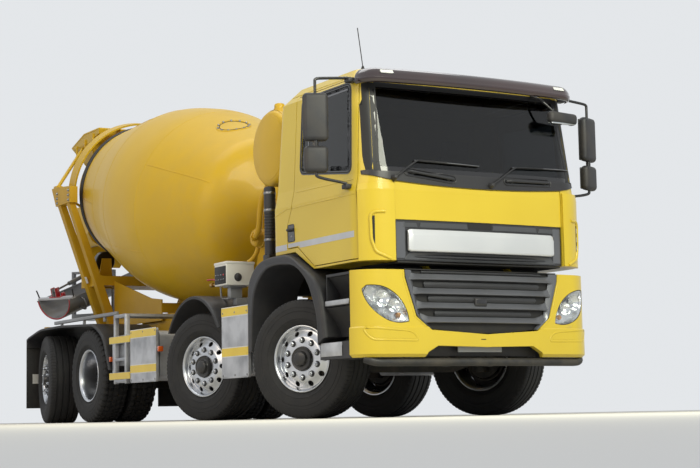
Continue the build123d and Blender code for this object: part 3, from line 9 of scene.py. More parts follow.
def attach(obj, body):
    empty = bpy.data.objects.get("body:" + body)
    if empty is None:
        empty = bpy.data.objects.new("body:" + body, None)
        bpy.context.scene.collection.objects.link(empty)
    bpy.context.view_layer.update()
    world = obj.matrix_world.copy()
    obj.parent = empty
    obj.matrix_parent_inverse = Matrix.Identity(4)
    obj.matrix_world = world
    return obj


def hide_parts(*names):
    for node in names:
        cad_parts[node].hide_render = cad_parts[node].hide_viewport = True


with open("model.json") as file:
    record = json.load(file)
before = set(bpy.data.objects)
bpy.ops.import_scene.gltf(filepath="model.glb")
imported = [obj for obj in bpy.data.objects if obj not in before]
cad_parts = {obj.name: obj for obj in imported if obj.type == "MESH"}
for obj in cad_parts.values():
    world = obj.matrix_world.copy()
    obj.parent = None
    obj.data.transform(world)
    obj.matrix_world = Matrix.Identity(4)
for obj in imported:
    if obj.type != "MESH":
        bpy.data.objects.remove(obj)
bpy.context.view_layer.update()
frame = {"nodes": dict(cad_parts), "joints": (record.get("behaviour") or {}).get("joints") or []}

joints = {joint["name"]: joint for joint in frame["joints"]}
axleX = {name: joints["steer_" + name + "r"]["pos_m"][0] for name in "124"}
axleX["3"] = joints["roll_3r"]["pos_m"][0]
frontX = axleX["1"]
moved = Matrix.Translation
sides = ((-1, "right"), (1, "left"))
fromAxle = moved((frontX, 0, 0))  # lengths are measured from the first axle
print("frame loaded")

# Camera, floor and lights. The camera stands at floor level, before the truck's right front corner.
stageSettings = {
    "cameraPlace": (frontX + 13.179, -8.2404, 0.02),
    "yaw": 149.7353,
    "pitch": 6.28,
    "roll": -1.0988,
    "focalPixels": 1651.99,
    "imageWidth": 700,
    "floorHex": "D9D7D2",
    "skyHex": "E9ECEF",
    "keyPower": 1120,
    "sidePower": 360,
    "topPower": 480,
    "worldLight": 0.42,
    "skyShown": 0.95,
    "floorNear": 9,
    "floorFar": 26,
}


def linear(hexText):
    # One colour written as sRGB hex, as linear light.
    values = [int(hexText[i:i + 2], 16) / 255 for i in (0, 2, 4)]
    return tuple(v / 12.92 if v <= 0.04045 else ((v + 0.055) / 1.055) ** 2.4 for v in values) + (1,)


def addNode(tree, kind, inputs=None, **attributes):
    # A shader node with its settings; an input is a value, an output, or a node for its first output.
    made = tree.nodes.new("ShaderNode" + kind)
    for name, value in attributes.items():
        setattr(made, name, value)
    for socket, value in (inputs or {}).items():
        if isinstance(value, bpy.types.Node):
            value = value.outputs[0]
        if isinstance(value, bpy.types.NodeSocket):
            tree.links.new(value, made.inputs[socket])
        else:
            made.inputs[socket].default_value = value
    return made


def newTree(name):
    # An empty material, its nodes, and the place on the object in metres.
    material = bpy.data.materials.new(name)
    material.use_nodes = True
    tree = material.node_tree
    tree.nodes.clear()
    return material, tree, addNode(tree, "TexCoord").outputs["Object"]


# Solid finishes: colour and that of its darker clouds, roughness, metal, clear coat, grain per metre and its
# depth in mm, clouds per metre, dust, and the width in mm over which an edge catches the light.
finishes = {
    # Two-pack truck enamel under clear lacquer: an even bright yellow with a soft sheen.
    "cabEnamel": ("D6BC33", "CFB32C", 0.34, 0, 0.35, 900, 0.04, 0.9, 0.05, 6),
    # The same paint sprayed on plate steel: duller, a little wavy, with dust low down.
    "drumEnamel": ("D6B01C", "CDA618", 0.42, 0, 0.12, 260, 0.12, 0.5, 0.16, 5),
    "chassisEnamel": ("D0A61E", "C49A1A", 0.5, 0, 0.1, 320, 0.1, 1.6, 0.22, 4),
    "frameBlack": ("1D1E21", "17181A", 0.55, 0, 0.1, 420, 0.12, 2.2, 0.22, 4),
    "greyEnamel": ("8C8F94", "7B7E84", 0.42, 0.1, 0.2, 300, 0.1, 2, 0.2, 3),
    "redEnamel": ("B0182A", "9A1424", 0.36, 0, 0.4, 300, 0.1, 2, 0.12, 3),
    "hubBlack": ("141416", "0F0F11", 0.35, 0, 0.3, 300, 0.1, 3, 0.06, 3),
    # Paint with metal flakes, which brightens towards the light.
    "sprayedSilver": ("D6D8DC", "C6C9CF", 0.3, 0.3, 0.8, 1500, 0.03, 1, 0.03, 5),
    "slatGrey": ("5E6067", "54565C", 0.34, 0.2, 0.3, 900, 0.05, 2, 0.06, 3),
    "bezelGrey": ("606268", "56585E", 0.24, 0.35, 0.6, 900, 0.03, 2, 0.04, 3),
    # Moulded ABS: a leather grain spreads the highlight, and the finer ones shine more.
    "mouldedBlack": ("26272C", "1F2025", 0.5, 0, 0, 700, 0.18, 2, 0.1, 6),
    "cowlBlack": ("232327", "1C1C20", 0.42, 0, 0.1, 900, 0.1, 2, 0.06, 6),
    "louvreGrey": ("2B2C30", "242529", 0.38, 0, 0.2, 900, 0.06, 2, 0.05, 4),
    "trimGrey": ("44464B", "3C3E43", 0.36, 0, 0.3, 900, 0.05, 2, 0.05, 3),
    "meshBlack": ("0E0E10", "0A0A0B", 0.6, 0, 0, 500, 0.1, 2, 0.05, 2),
    "glossBlack": ("0F0F12", "0B0B0D", 0.12, 0, 0.6, 900, 0.02, 3, 0.03, 1),
    "blackRubber": ("1A1A1B", "141415", 0.7, 0, 0, 600, 0.2, 3, 0.08, 2),
    # Ceramic print on the glass: black and without a reflection.
    "screenBlack": ("0C0C0F", "09090B", 0.55, 0, 0, 900, 0.02, 3, 0.02, 1),
    # Smoked acrylic, polished: dark, with sharp reflections.
    "smokedAcrylic": ("35201F", "26181A", 0.1, 0, 1, 50, 0, 1.2, 0.03, 4),
    # Sand-cast iron, oiled and dusty: no clear reflection.
    "castIron": ("2B2B2D", "202022", 0.62, 0.2, 0, 180, 0.6, 3, 0.3, 4),
    # Bare metal, turned, polished or plated: each mirrors its surroundings more sharply than the last.
    "machinedSteel": ("8E8F91", "77787B", 0.32, 1, 0, 500, 0.1, 5, 0.12, 3),
    "brassFitting": ("B08D4A", "94743A", 0.34, 1, 0, 400, 0.1, 14, 0.1, 2),
    "polishedAlloy": ("CDCFD3", "BBBEC3", 0.27, 1, 0, 900, 0.03, 6, 0.05, 3),
    "platedNut": ("C6C8CC", "ADB0B4", 0.24, 1, 0, 900, 0.05, 20, 0.04, 1.2),
    "flutedSilver": ("E6E8EA", "D4D7DA", 0.24, 0.75, 0.4, 120, 0.8, 9, 0, 2),
    "lampChrome": ("F0F1F2", "E2E4E6", 0.08, 1, 0, 900, 0.02, 9, 0, 1),
    "mirrorGlass": ("D9DDE0", "CDD2D6", 0.03, 1, 0, 900, 0.005, 4, 0.03, 1),
    # Reflective film and painted plates: flat colour under a thin clear layer.
    "stripeYellow": ("EBCB12", "E2C210", 0.35, 0, 0.3, 2200, 0.08, 3, 0.05, 1),
    "stripeSilver": ("C2C5CE", "B6B9C2", 0.35, 0.2, 0.3, 2200, 0.05, 3, 0.03, 1),
    "plateWhite": ("E4E4E0", "D8D8D4", 0.4, 0, 0.2, 900, 0.03, 3, 0.06, 1),
    # Moulded lenses: full colour under gloss.
    "orangeLens": ("D9601A", "C9551A", 0.2, 0, 0.8, 400, 0.1, 3, 0.02, 2),
    "redLens": ("B01A1A", "9C1616", 0.2, 0, 0.8, 400, 0.2, 3, 0.02, 2),
    "amberLens": ("D89A4E", "C98C42", 0.2, 0, 0.8, 400, 0.2, 3, 0, 2),
    "whiteLens": ("F1F1EC", "E4E6E6", 0.15, 0, 0.9, 500, 0.3, 8, 0, 2),
}
specularLevels = {"cabEnamel": 0.4, "drumEnamel": 0.35, "chassisEnamel": 0.3}
plateWaves = {"drumEnamel": 0.0035}


def solidFinish(name, values):
    hexText, darkHex, roughness, metallic, coat, grainScale, grainDepth, cloudScale, dirt, edge = values
    material, tree, coords = newTree(name)
    cloud = addNode(tree, "TexNoise", {"Vector": coords, "Scale": cloudScale, "Detail": 3})
    cloudShare = addNode(tree, "MapRange", {"Value": cloud, "From Min": 0.35, "From Max": 0.65})
    colour = addNode(
        tree, "Mix", {0: cloudShare, 6: linear(hexText), 7: linear(darkHex)}, data_type="RGBA").outputs[2]
    # Dust: most below a metre, thinning upward, broken up by patches 0.2 m wide.
    height = addNode(tree, "SeparateXYZ", {"Vector": coords}).outputs["Z"]
    low = addNode(
        tree, "MapRange", {"Value": height, "From Min": 0.2, "From Max": 1.7, "To Min": 1, "To Max": 0.18})
    patch = addNode(tree, "TexNoise", {"Vector": coords, "Scale": 5, "Detail": 6, "Roughness": 0.62})
    patchShare = addNode(tree, "MapRange", {"Value": patch, "From Min": 0.38, "From Max": 0.75})
    dustShare = addNode(tree, "Math", {0: low, 1: patchShare}, operation="MULTIPLY")
    dust = addNode(tree, "Math", {0: dustShare, 1: dirt}, operation="MULTIPLY")
    colour = addNode(tree, "Mix", {0: dust, 6: colour, 7: linear("9A8F7E")}, data_type="RGBA").outputs[2]
    rough = addNode(tree, "MapRange", {"Value": dust, "From Min": 0, "From Max": 0.3, "To Min": roughness,
                                       "To Max": min(roughness + 0.3, 1)})
    rounded = addNode(tree, "Bevel", {"Radius": edge / 1000}, samples=4)
    grain = addNode(tree, "TexNoise", {"Vector": coords, "Scale": grainScale, "Detail": 2})
    normal = addNode(
        tree, "Bump", {"Height": grain, "Distance": grainDepth / 1000, "Strength": 0.6, "Normal": rounded})
    if name in plateWaves:
        wave = addNode(tree, "TexNoise", {"Vector": coords, "Scale": 3.2, "Detail": 1})
        normal = addNode(
            tree, "Bump", {"Height": wave, "Distance": plateWaves[name], "Strength": 0.5, "Normal": normal})
    shader = addNode(tree, "BsdfPrincipled", {"Base Color": colour, "Roughness": rough, "Metallic": metallic,
                                              "Specular IOR Level": specularLevels.get(name, 0.5),
                                              "Coat Weight": coat, "Coat Roughness": 0.08, "Normal": normal})
    addNode(tree, "OutputMaterial", {"Surface": shader})
    return material


materials = {name: solidFinish(name, values) for name, values in finishes.items()}


def brushedMetal(name, hexText, roughness, stretch):
    # Rolled aluminium: fine lines along one direction, broken by faint handling marks.
    material, tree, coords = newTree(name)
    along = addNode(tree, "Mapping", {"Vector": coords, "Scale": stretch})
    lines = addNode(tree, "TexNoise", {"Vector": along, "Scale": 60, "Detail": 4})
    marks = addNode(tree, "TexNoise", {"Vector": coords, "Scale": 4, "Detail": 5})
    share = addNode(tree, "MapRange", {"Value": marks, "From Min": 0.4, "From Max": 0.7})
    colour = addNode(
        tree, "Mix", {0: share, 6: linear(hexText), 7: linear("94969C")}, data_type="RGBA").outputs[2]
    rough = addNode(tree, "MapRange", {"Value": lines, "From Min": 0.3, "From Max": 0.7,
                                       "To Min": roughness - 0.07, "To Max": roughness + 0.1})
    rounded = addNode(tree, "Bevel", {"Radius": 0.004}, samples=4)
    bump = addNode(tree, "Bump", {"Height": lines, "Distance": 0.0003, "Strength": 0.35, "Normal": rounded})
    shader = addNode(
        tree, "BsdfPrincipled", {"Base Color": colour, "Roughness": rough, "Metallic": 0.6, "Normal": bump})
    addNode(tree, "OutputMaterial", {"Surface": shader})
    return material


def treadPlate():
    # Aluminium tread plate: raised lozenges 30 mm apart, on a grid turned by 45 degrees.
    material, tree, coords = newTree("treadPlate")
    turned = addNode(
        tree, "Mapping", {"Vector": coords, "Rotation": (0, 0, radians(45)), "Scale": (34, 34, 34)})
    dots = addNode(tree, "TexVoronoi", {"Vector": turned, "Scale": 1, "Randomness": 0})
    bumps = addNode(tree, "MapRange", {"Value": dots.outputs["Distance"], "From Min": 0.42, "From Max": 0.2})
    rounded = addNode(tree, "Bevel", {"Radius": 0.004}, samples=4)
    bump = addNode(tree, "Bump", {"Height": bumps, "Distance": 0.002, "Strength": 1, "Normal": rounded})
    shader = addNode(tree, "BsdfPrincipled", {"Base Color": linear("9FA1A5"), "Roughness": 0.36,
                                              "Metallic": 0.85, "Normal": bump})
    addNode(tree, "OutputMaterial", {"Surface": shader})
    return material


def perforatedSheet():
    # Pressed mesh: rows of holes 14 mm apart in grey steel; the holes are not cut, and their near-black is
    # painted shade.
    material, tree, coords = newTree("perforatedSheet")
    turned = addNode(
        tree, "Mapping", {"Vector": coords, "Rotation": (radians(38), 0, 0), "Scale": (4, 62, 76)})
    dots = addNode(tree, "TexVoronoi", {"Vector": turned, "Scale": 1, "Randomness": 0})
    share = addNode(tree, "MapRange", {"Value": dots.outputs["Distance"], "From Min": 0.44, "From Max": 0.34})
    wear = addNode(tree, "TexNoise", {"Vector": coords, "Scale": 7, "Detail": 3})
    steel = addNode(
        tree, "Mix", {0: wear, 6: linear("3A3B3F"), 7: linear("4C4D52")}, data_type="RGBA").outputs[2]
    # Painted shade: the holes take a near-black colour where the shade inside them would be.
    colour = addNode(tree, "Mix", {0: share, 6: steel, 7: linear("08080A")}, data_type="RGBA").outputs[2]
    bump = addNode(tree, "Bump", {"Height": dots.outputs["Distance"], "Distance": 0.004, "Strength": 0.8})
    shader = addNode(
        tree, "BsdfPrincipled", {"Base Color": colour, "Roughness": 0.42, "Metallic": 0.3, "Normal": bump})
    addNode(tree, "OutputMaterial", {"Surface": shader})
    return material


def tyreRubber():
    # Rubber with a dusty bloom in patches and a fine grain.
    material, tree, coords = newTree("tyreRubber")
    bloom = addNode(tree, "TexNoise", {"Vector": coords, "Scale": 9, "Detail": 6, "Roughness": 0.6})
    share = addNode(tree, "MapRange", {"Value": bloom, "From Min": 0.4, "From Max": 0.75, "To Max": 0.45})
    colour = addNode(
        tree, "Mix", {0: share, 6: linear("151517"), 7: linear("2C2A28")}, data_type="RGBA").outputs[2]
    grain = addNode(tree, "TexNoise", {"Vector": coords, "Scale": 300, "Detail": 2})
    bump = addNode(tree, "Bump", {"Height": grain, "Distance": 0.0003, "Strength": 0.5})
    shader = addNode(tree, "BsdfPrincipled", {"Base Color": colour, "Roughness": 0.72, "Normal": bump})
    addNode(tree, "OutputMaterial", {"Surface": shader})
    return material


def glassSheet(name, hexText, thinHex):
    # Tempered glass: its tint is a little uneven, as drying marks leave it.
    material, tree, coords = newTree(name)
    film = addNode(tree, "TexNoise", {"Vector": coords, "Scale": 6, "Detail": 4})
    tint = addNode(
        tree, "Mix", {0: film, 6: linear(hexText), 7: linear(thinHex)}, data_type="RGBA").outputs[2]
    shader = addNode(
        tree, "BsdfPrincipled", {"Base Color": tint, "Roughness": 0, "Transmission Weight": 1, "IOR": 1.45})
    addNode(tree, "OutputMaterial", {"Surface": shader})
    return material


def seatCloth():
    # Woven seat cloth, threads about 1.5 mm apart, darker down between the threads as painted shade.
    material, tree, coords = newTree("seatCloth")
    weave = addNode(tree, "TexWave", {"Vector": coords, "Scale": 210, "Distortion": 1}, bands_direction="X")
    weft = addNode(tree, "TexWave", {"Vector": coords, "Scale": 210, "Distortion": 1}, bands_direction="Z")
    height = addNode(tree, "Math", {0: weave.outputs["Fac"], 1: weft.outputs["Fac"]}, operation="ADD")
    share = addNode(tree, "MapRange", {"Value": height, "From Max": 2})
    # Painted shade: the low places of the weave take the darker colour.
    colour = addNode(
        tree, "Mix", {0: share, 6: linear("2A2B2F"), 7: linear("4A4B50")}, data_type="RGBA").outputs[2]
    bump = addNode(tree, "Bump", {"Height": height, "Distance": 0.0006, "Strength": 0.6})
    shader = addNode(tree, "BsdfPrincipled", {"Base Color": colour, "Roughness": 0.85, "Sheen Weight": 0.3,
                                              "Normal": bump})
    addNode(tree, "OutputMaterial", {"Surface": shader})
    return material


materials.update({
    "brushedPanel": brushedMetal("brushedPanel", "C2C4C9", 0.4, (1, 1, 40)),
    "brushedTread": brushedMetal("brushedTread", "C8CACE", 0.4, (40, 1, 1)),
    "treadPlate": treadPlate(), "tyreRubber": tyreRubber(), "perforatedSheet": perforatedSheet(),
    "cabGlass": glassSheet("cabGlass", "474D50", "50575A"),
    "doorGlass": glassSheet("doorGlass", "33383B", "3B4144"),
    "lampGlass": glassSheet("lampGlass", "F4F6F6", "FAFBFB"), "seatCloth": seatCloth()})
print("materials made", len(materials))

finishNodes = {
    "cabEnamel": "cab_shell door_r door_l front_lid corner_panels front_bumper",
    "drumEnamel": "mixer_drum charge_hopper water_tank discharge_funnel",
    "chassisEnamel": "rear_pedestal mixer_subframe drum_gearbox",
    "greyEnamel": "chute_mast chute_trough chute_cylinder",
    "castIron": "drum_ring engine_block drive_axle steer_axles leaf_springs",
    "mouldedBlack": "control_box cab_steps mudguards air_intake kerb_mirror mirrors_r mirrors_l",
    "frameBlack": "frame_rails underrun_bar", "hubBlack": "roller_r roller_l", "machinedSteel": "chute_rod",
    "brushedPanel": "side_tanks side_guards", "louvreGrey": "upper_grille lower_grille",
    "sprayedSilver": "silver_bar", "cowlBlack": "cowl_panel", "smokedAcrylic": "sun_visor",
    "seatCloth": "cab_interior", "cabGlass": "windscreen", "doorGlass": "door_glass_r door_glass_l",
    "lampGlass": "lamps",
}
nodeFinish = {node: finish for finish, nodes in finishNodes.items() for node in nodes.split()}
for node, item in frame["nodes"].items():
    known = nodeFinish.get(node, "castIron" if node.startswith("knuckle") else "tyreRubber")
    if not item.data.materials:
        item.data.materials.append(materials[known])
    for index in range(len(item.data.materials)):
        item.data.materials[index] = materials[known]
print("frame dressed")


# Mesh helpers.
def linked(name, data):
    made = bpy.data.objects.new(name, data)
    bpy.context.scene.collection.objects.link(made)
    return made


def makeObject(name, mesh, finish, body, matrix=None, replaces=()):
    made = linked(name, mesh)
    if matrix is not None:
        made.matrix_world = matrix
    if finish and not mesh.materials:
        mesh.materials.append(materials[finish])
    if body:
        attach(made, body)
    if replaces:
        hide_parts(*replaces)
    return made


def meshOf(mesh, change):
    # Runs one change on a mesh, a new one where only a name is given.
    work = bmesh.new()
    if isinstance(mesh, str):
        mesh = bpy.data.meshes.new(mesh)
    work.from_mesh(mesh)
    change(work)
    work.to_mesh(mesh)
    work.free()
    return mesh


def smoothMesh(mesh, angle=35):
    # Smooth shading that keeps edges sharper than the angle.
    def markSharp(work):
        for edge in work.edges:
            if len(edge.link_faces) == 2:
                edge.smooth = edge.calc_face_angle(0) < radians(angle)

    mesh.polygons.foreach_set("use_smooth", [True] * len(mesh.polygons))
    return meshOf(mesh, markSharp)


def meshFrom(name, points, faces, angle=35, closed=False):
    mesh = bpy.data.meshes.new(name)
    mesh.from_pydata([tuple(point) for point in points], [], faces)
    mesh.validate()
    smoothMesh(mesh, angle)
    if closed:
        # The faces of a closed form all turn outward.
        meshOf(mesh, lambda work: bmesh.ops.recalc_face_normals(work, faces=work.faces))
        smoothMesh(mesh, angle)
    return mesh


def frameMatrix(origin, zAxis, xHint=(0, 0, 1)):
    # A local frame whose z looks along zAxis and whose x is as near xHint as it can be.
    z = Vector(zAxis).normalized()
    y = z.cross(Vector(xHint)).normalized()
    x = y.cross(z)
    return Matrix(
        ((x.x, y.x, z.x, origin[0]), (x.y, y.y, z.y, origin[1]), (x.z, y.z, z.z, origin[2]), (0, 0, 0, 1)))


def lathe(name, profile, angles, closed=False, shift=None, edgeAngle=35):
    # A profile of (radius, height) turned about local z; shift may pull a point in, by its angle and place.
    count = len(profile)
    if isinstance(angles, int):
        angles = [2 * pi * i / angles for i in range(angles)]
    points = []
    for step, angle in enumerate(angles):
        for index, (radius, height) in enumerate(profile):
            pull = shift(step, index) if shift else 0
            points.append(((radius - pull) * cos(angle), (radius - pull) * sin(angle), height))
    faces = []
    rows = count if closed else count - 1
    for step in range(len(angles)):
        following = (step + 1) % len(angles)
        for index in range(rows):
            other = (index + 1) % count
            faces.append((step * count + index, following * count + index, following * count + other,
                          step * count + other))
    mesh = meshFrom(name, points, faces, edgeAngle)
    if not closed and min(profile[0][0], profile[-1][0]) < 1e-6:
        meshOf(mesh, lambda work: bmesh.ops.remove_doubles(work, verts=work.verts, dist=1e-6))
    return mesh


def turned(name, profile, angles, finish, matrix, body="truck", closed=False, edgeAngle=35, replaces=()):
    # A lathe-turned piece in its own frame.
    mesh = lathe(name, profile, angles, closed, None, edgeAngle)
    return makeObject(name, mesh, finish, body, matrix, replaces)


def blocks(name, items, bevel, segments, finish, body="truck", matrix=fromAxle, replaces=()):
    # Blocks with rounded edges as one piece, each from one corner to the other.
    def shape(work):
        for low, high in items:
            made = bmesh.ops.create_cube(work, size=1)
            for vert in made["verts"]:
                vert.co = Vector([(a + b) / 2 + c * abs(b - a) for a, b, c in zip(low, high, vert.co)])
        bmesh.ops.bevel(work, geom=work.edges[:], offset=bevel, segments=segments, affect="EDGES",
                        profile=0.5, clamp_overlap=True)

    return makeObject(name, smoothMesh(meshOf(name, shape), 40), finish, body, matrix, replaces)


def tube(name, points, radius, finish, body="truck", smooth=True, resolution=6, cyclic=False, replaces=()):
    # A round bar or hose along points, as a mesh.
    curve = bpy.data.curves.new(name, "CURVE")
    curve.dimensions = "3D"
    spline = curve.splines.new("NURBS" if smooth else "POLY")
    spline.points.add(len(points) - 1)
    for target, point in zip(spline.points, points):
        target.co = (*point, 1)
    if smooth:
        spline.order_u = 3
        spline.use_endpoint_u = not cyclic
    spline.use_cyclic_u = cyclic
    curve.resolution_u = resolution
    curve.bevel_depth = radius
    curve.bevel_resolution = 4
    curve.use_fill_caps = True
    carrier = linked(name + "Curve", curve)
    bpy.context.view_layer.update()
    mesh = bpy.data.meshes.new_from_object(carrier.evaluated_get(bpy.context.evaluated_depsgraph_get()))
    bpy.data.objects.remove(carrier)
    mesh.materials.clear()
    smoothMesh(mesh, 50)
    return makeObject(name, mesh, finish, body, replaces=replaces)


def coneRing(name, places, cones):
    # At each place, cones of (lower radius, upper radius, foot, top, sides).
    def shape(work):
        for place in places:
            for lower, upper, foot, top, sides in cones:
                middle = place @ moved((0, 0, (foot + top) / 2))
                bmesh.ops.create_cone(work, cap_ends=True, segments=sides, radius1=lower, radius2=upper,
                                      depth=top - foot, matrix=middle)

    return smoothMesh(meshOf(name, shape), 30)


def cutHoles(mesh, name, matrices, radius, depth):
    # Round holes through a mesh, one for each local frame.
    drills = coneRing(name + "Drills", matrices, ((radius, radius, -depth / 2, depth / 2, 32),))
    cutObject = makeObject(name + "Cutter", drills, None, None)
    solid = makeObject(name + "Solid", mesh, None, None)
    boolean = solid.modifiers.new("holes", "BOOLEAN")
    boolean.object = cutObject
    boolean.operation = "DIFFERENCE"
    boolean.solver = "EXACT"
    bpy.context.view_layer.update()
    result = bpy.data.meshes.new_from_object(solid.evaluated_get(bpy.context.evaluated_depsgraph_get()))
    for item in (cutObject, solid):
        bpy.data.objects.remove(item)
    return smoothMesh(result, 35)


# Wheels. Profiles are (radius, distance outward from the tyre's middle) in metres.
wheelSettings = {
    "steerRadius": 0.536, "steerWidth": 0.385, "driveRadius": 0.538, "driveWidth": 0.315,
    "grooveDepth": 0.013, "grooveWidth": 0.011, "notchCount": 84, "lugCount": 44, "lugDepth": 0.016,
    "boltCircle": 0.1675, "boltCount": 10, "holeCircle": 0.232, "holeRadius": 0.025,
}


def tyreProfile(radius, width, seat):
    # Bead, sidewall with its moulded rings, shoulder and tread with grooves, from one bead to the other.
    half = width / 2
    side = [(0.286, seat - 0.002), (0.303, seat + 0.008), (0.318, half - 0.028), (0.335, half - 0.012),
            (0.352, half - 0.004), (0.356, half - 0.006), (0.36, half - 0.002), (0.385, half), (0.42, half),
            (0.424, half - 0.003), (0.428, half), (0.455, half - 0.001), (0.459, half - 0.004),
            (0.463, half - 0.002), (radius - 0.052, half - 0.005), (radius - 0.034, half - 0.009),
            (radius - 0.02, half - 0.013), (radius - 0.009, half - 0.019), (radius - 0.002, half - 0.03)]
    tread = []
    depth, gap = wheelSettings["grooveDepth"], wheelSettings["grooveWidth"]
    grooves = [half * k for k in (0.58, 0.2)]
    for place in grooves:
        tread += [(radius, place + gap), (radius - depth, place + gap * 0.45),
                  (radius - depth, place - gap * 0.45), (radius, place - gap)]
    right = side + tread
    return right + [(r, -y) for r, y in reversed(right)]


def tyreMesh(name, radius, width, seat, count, lugs):
    profile = tyreProfile(radius, width, seat)
    half = width / 2
    angles = []
    for number in range(count):
        start = 2 * pi * number / count
        pitch = 2 * pi / count
        angles += [start + pitch * share for share in (0, 0.56, 0.63, 0.93)]

    def pull(step, index):
        radiusHere, y = profile[index]
        phase = step % 4
        if lugs:
            # Staggered blocks: the cross grooves of the two halves and of the middle stand apart.
            if radiusHere < radius - 0.036:
                return 0
            turned = (step + (2 if y < 0 else 0)) % 4
            if abs(y) > half * 0.25:
                return wheelSettings["lugDepth"] if turned in (2, 3) else 0
            return wheelSettings["lugDepth"] * 0.6 if phase in (2, 3) else 0
        if radiusHere > radius - 0.025 and abs(y) > half * 0.72:
            return 0.005 if phase in (2, 3) else 0
        return 0

    return lathe(name, profile, angles, closed=True, shift=pull, edgeAngle=30)


def ringFrames(count, radius, height, offset=0.5):
    turns = [2 * pi * (number + offset) / count for number in range(count)]
    return [moved((radius * cos(turn), radius * sin(turn), height)) for turn in turns]


steerTyre = tyreMesh("steerTyre", wheelSettings["steerRadius"], wheelSettings["steerWidth"], 0.146,
                     wheelSettings["notchCount"], False)
driveTyre = tyreMesh("driveTyre", wheelSettings["driveRadius"], wheelSettings["driveWidth"], 0.12,
                     wheelSettings["lugCount"], True)
steerRimProfile = [
    (0.302, 0.155), (0.3025, 0.161), (0.3, 0.165), (0.294, 0.166), (0.288, 0.163), (0.282, 0.154),
    (0.276, 0.146), (0.272, 0.132), (0.268, 0.12), (0.262, 0.114), (0.252, 0.116), (0.238, 0.123),
    (0.222, 0.132), (0.208, 0.141), (0.2, 0.146), (0.192, 0.148), (0.15, 0.149), (0.112, 0.149),
    (0.108, 0.146), (0.107, 0.12), (0.19, 0.118), (0.222, 0.112), (0.255, 0.098), (0.27, 0.08),
    (0.272, -0.148), (0.29, -0.164), (0.302, -0.164), (0.302, -0.156), (0.286, -0.146), (0.286, 0.145)]
steerRim = lathe("steerRim", steerRimProfile, 96, closed=True)
steerHoles = ringFrames(wheelSettings["boltCount"], wheelSettings["holeCircle"], 0.115)
steerRim = cutHoles(steerRim, "steerRim", steerHoles, wheelSettings["holeRadius"], 0.12)
steerHubProfile = [(0, 0.202), (0.05, 0.202), (0.058, 0.199), (0.062, 0.194), (0.066, 0.176), (0.072, 0.17),
                   (0.094, 0.168), (0.1, 0.17), (0.104, 0.174), (0.107, 0.168), (0.108, 0.142),
                   (0.108, -0.06), (0, -0.06)]
steerHub = lathe("steerHub", steerHubProfile, 64)
drumBrake = lathe(
    "brakeDrum", [(0.1, 0.05), (0.185, 0.054), (0.203, 0.048), (0.205, -0.06), (0.19, -0.062)], 64)
driveRimProfile = [
    (0.302, 0.13), (0.3025, 0.135), (0.3, 0.139), (0.292, 0.139), (0.286, 0.135), (0.278, 0.128),
    (0.273, 0.118), (0.272, 0.06), (0.272, -0.11), (0.272, -0.124), (0.286, -0.136), (0.302, -0.138),
    (0.302, -0.13), (0.2856, -0.118), (0.2856, 0.118)]
driveBarrel = lathe("driveBarrel", driveRimProfile, 96, closed=True)
driveWebProfile = [
    (0.273, 0.066), (0.262, 0.05), (0.246, 0.028), (0.23, 0.017), (0.21, 0.014), (0.12, 0.014),
    (0.12, -0.014), (0.21, -0.014), (0.236, -0.004), (0.252, 0.016), (0.266, 0.04), (0.273, 0.05)]
driveWeb = lathe("driveWeb", driveWebProfile, 96, closed=True)
driveWeb = cutHoles(driveWeb, "driveWeb", ringFrames(10, 0.226, 0), 0.023, 0.15)
driveHubProfile = [(0, 0.15), (0.06, 0.15), (0.112, 0.146), (0.118, 0.138), (0.119, 0.11), (0.124, 0.1),
                   (0.146, 0.096), (0.15, 0.088), (0.15, 0.016), (0, 0.016)]
driveHub = lathe("driveHub", driveHubProfile, 64)
brakeShield = lathe(
    "brakeShield", [(0.1, 0.078), (0.19, 0.082), (0.264, 0.074), (0.266, 0.066), (0.1, 0.066)], 64)
fasteners = {}
for kind, height in (("steer", 0.149), ("drive", 0.014)):
    # Hexagons with their corners turned off and the ends of the studs, on dark oiled washers.
    bolts = ringFrames(wheelSettings["boltCount"], wheelSettings["boltCircle"], height, 0)
    nuts = ((0.0205, 0.0205, 0.004, 0.028, 6), (0.0205, 0.015, 0.028, 0.032, 6),
            (0.0115, 0.01, 0.032, 0.042, 16))
    fasteners[kind + "Nuts"] = coneRing(kind + "Nuts", bolts, nuts)
    fasteners[kind + "Washers"] = coneRing(kind + "Washers", bolts, ((0.03, 0.026, -0.001, 0.005, 28),))
steerPieces = [("tyre", steerTyre, "tyreRubber"), ("rim", steerRim, "polishedAlloy"),
               ("nuts", fasteners["steerNuts"], "platedNut"), ("hub", steerHub, "hubBlack"),
               ("brake", drumBrake, "castIron"), ("washers", fasteners["steerWashers"], "hubBlack"),
               ("shield", brakeShield, "castIron")]
twinOuter, twinInner = 1.075, 0.725  # middles of the twin tyres, from the truck's middle
twinDisc = (twinOuter + twinInner) / 2
drivePieces = [
    ("tyre_outer", driveTyre, "tyreRubber", twinOuter), ("tyre_inner", driveTyre, "tyreRubber", twinInner),
    ("rim_outer", driveBarrel, "polishedAlloy", twinOuter),
    ("rim_inner", driveBarrel, "polishedAlloy", twinInner), ("web", driveWeb, "polishedAlloy", twinDisc),
    ("nuts", fasteners["driveNuts"], "platedNut", twinDisc),
    ("washers", fasteners["driveWashers"], "hubBlack", twinDisc), ("hub", driveHub, "hubBlack", twinDisc)]
for name in ("1r", "1l", "2r", "2l", "4r", "4l"):
    rolling = joints["roll_" + name]
    outward = Vector(rolling["axis"]) * (-1 if name[1] == "r" else 1)
    matrix = frameMatrix(rolling["pos_m"], outward)
    for label, mesh, finish in steerPieces:
        stoodFor = ("wheel_" + name,) if label == "tyre" else ()
        makeObject(f"{label}_{name}", mesh, finish, "wheel_body_" + name, matrix, stoodFor)
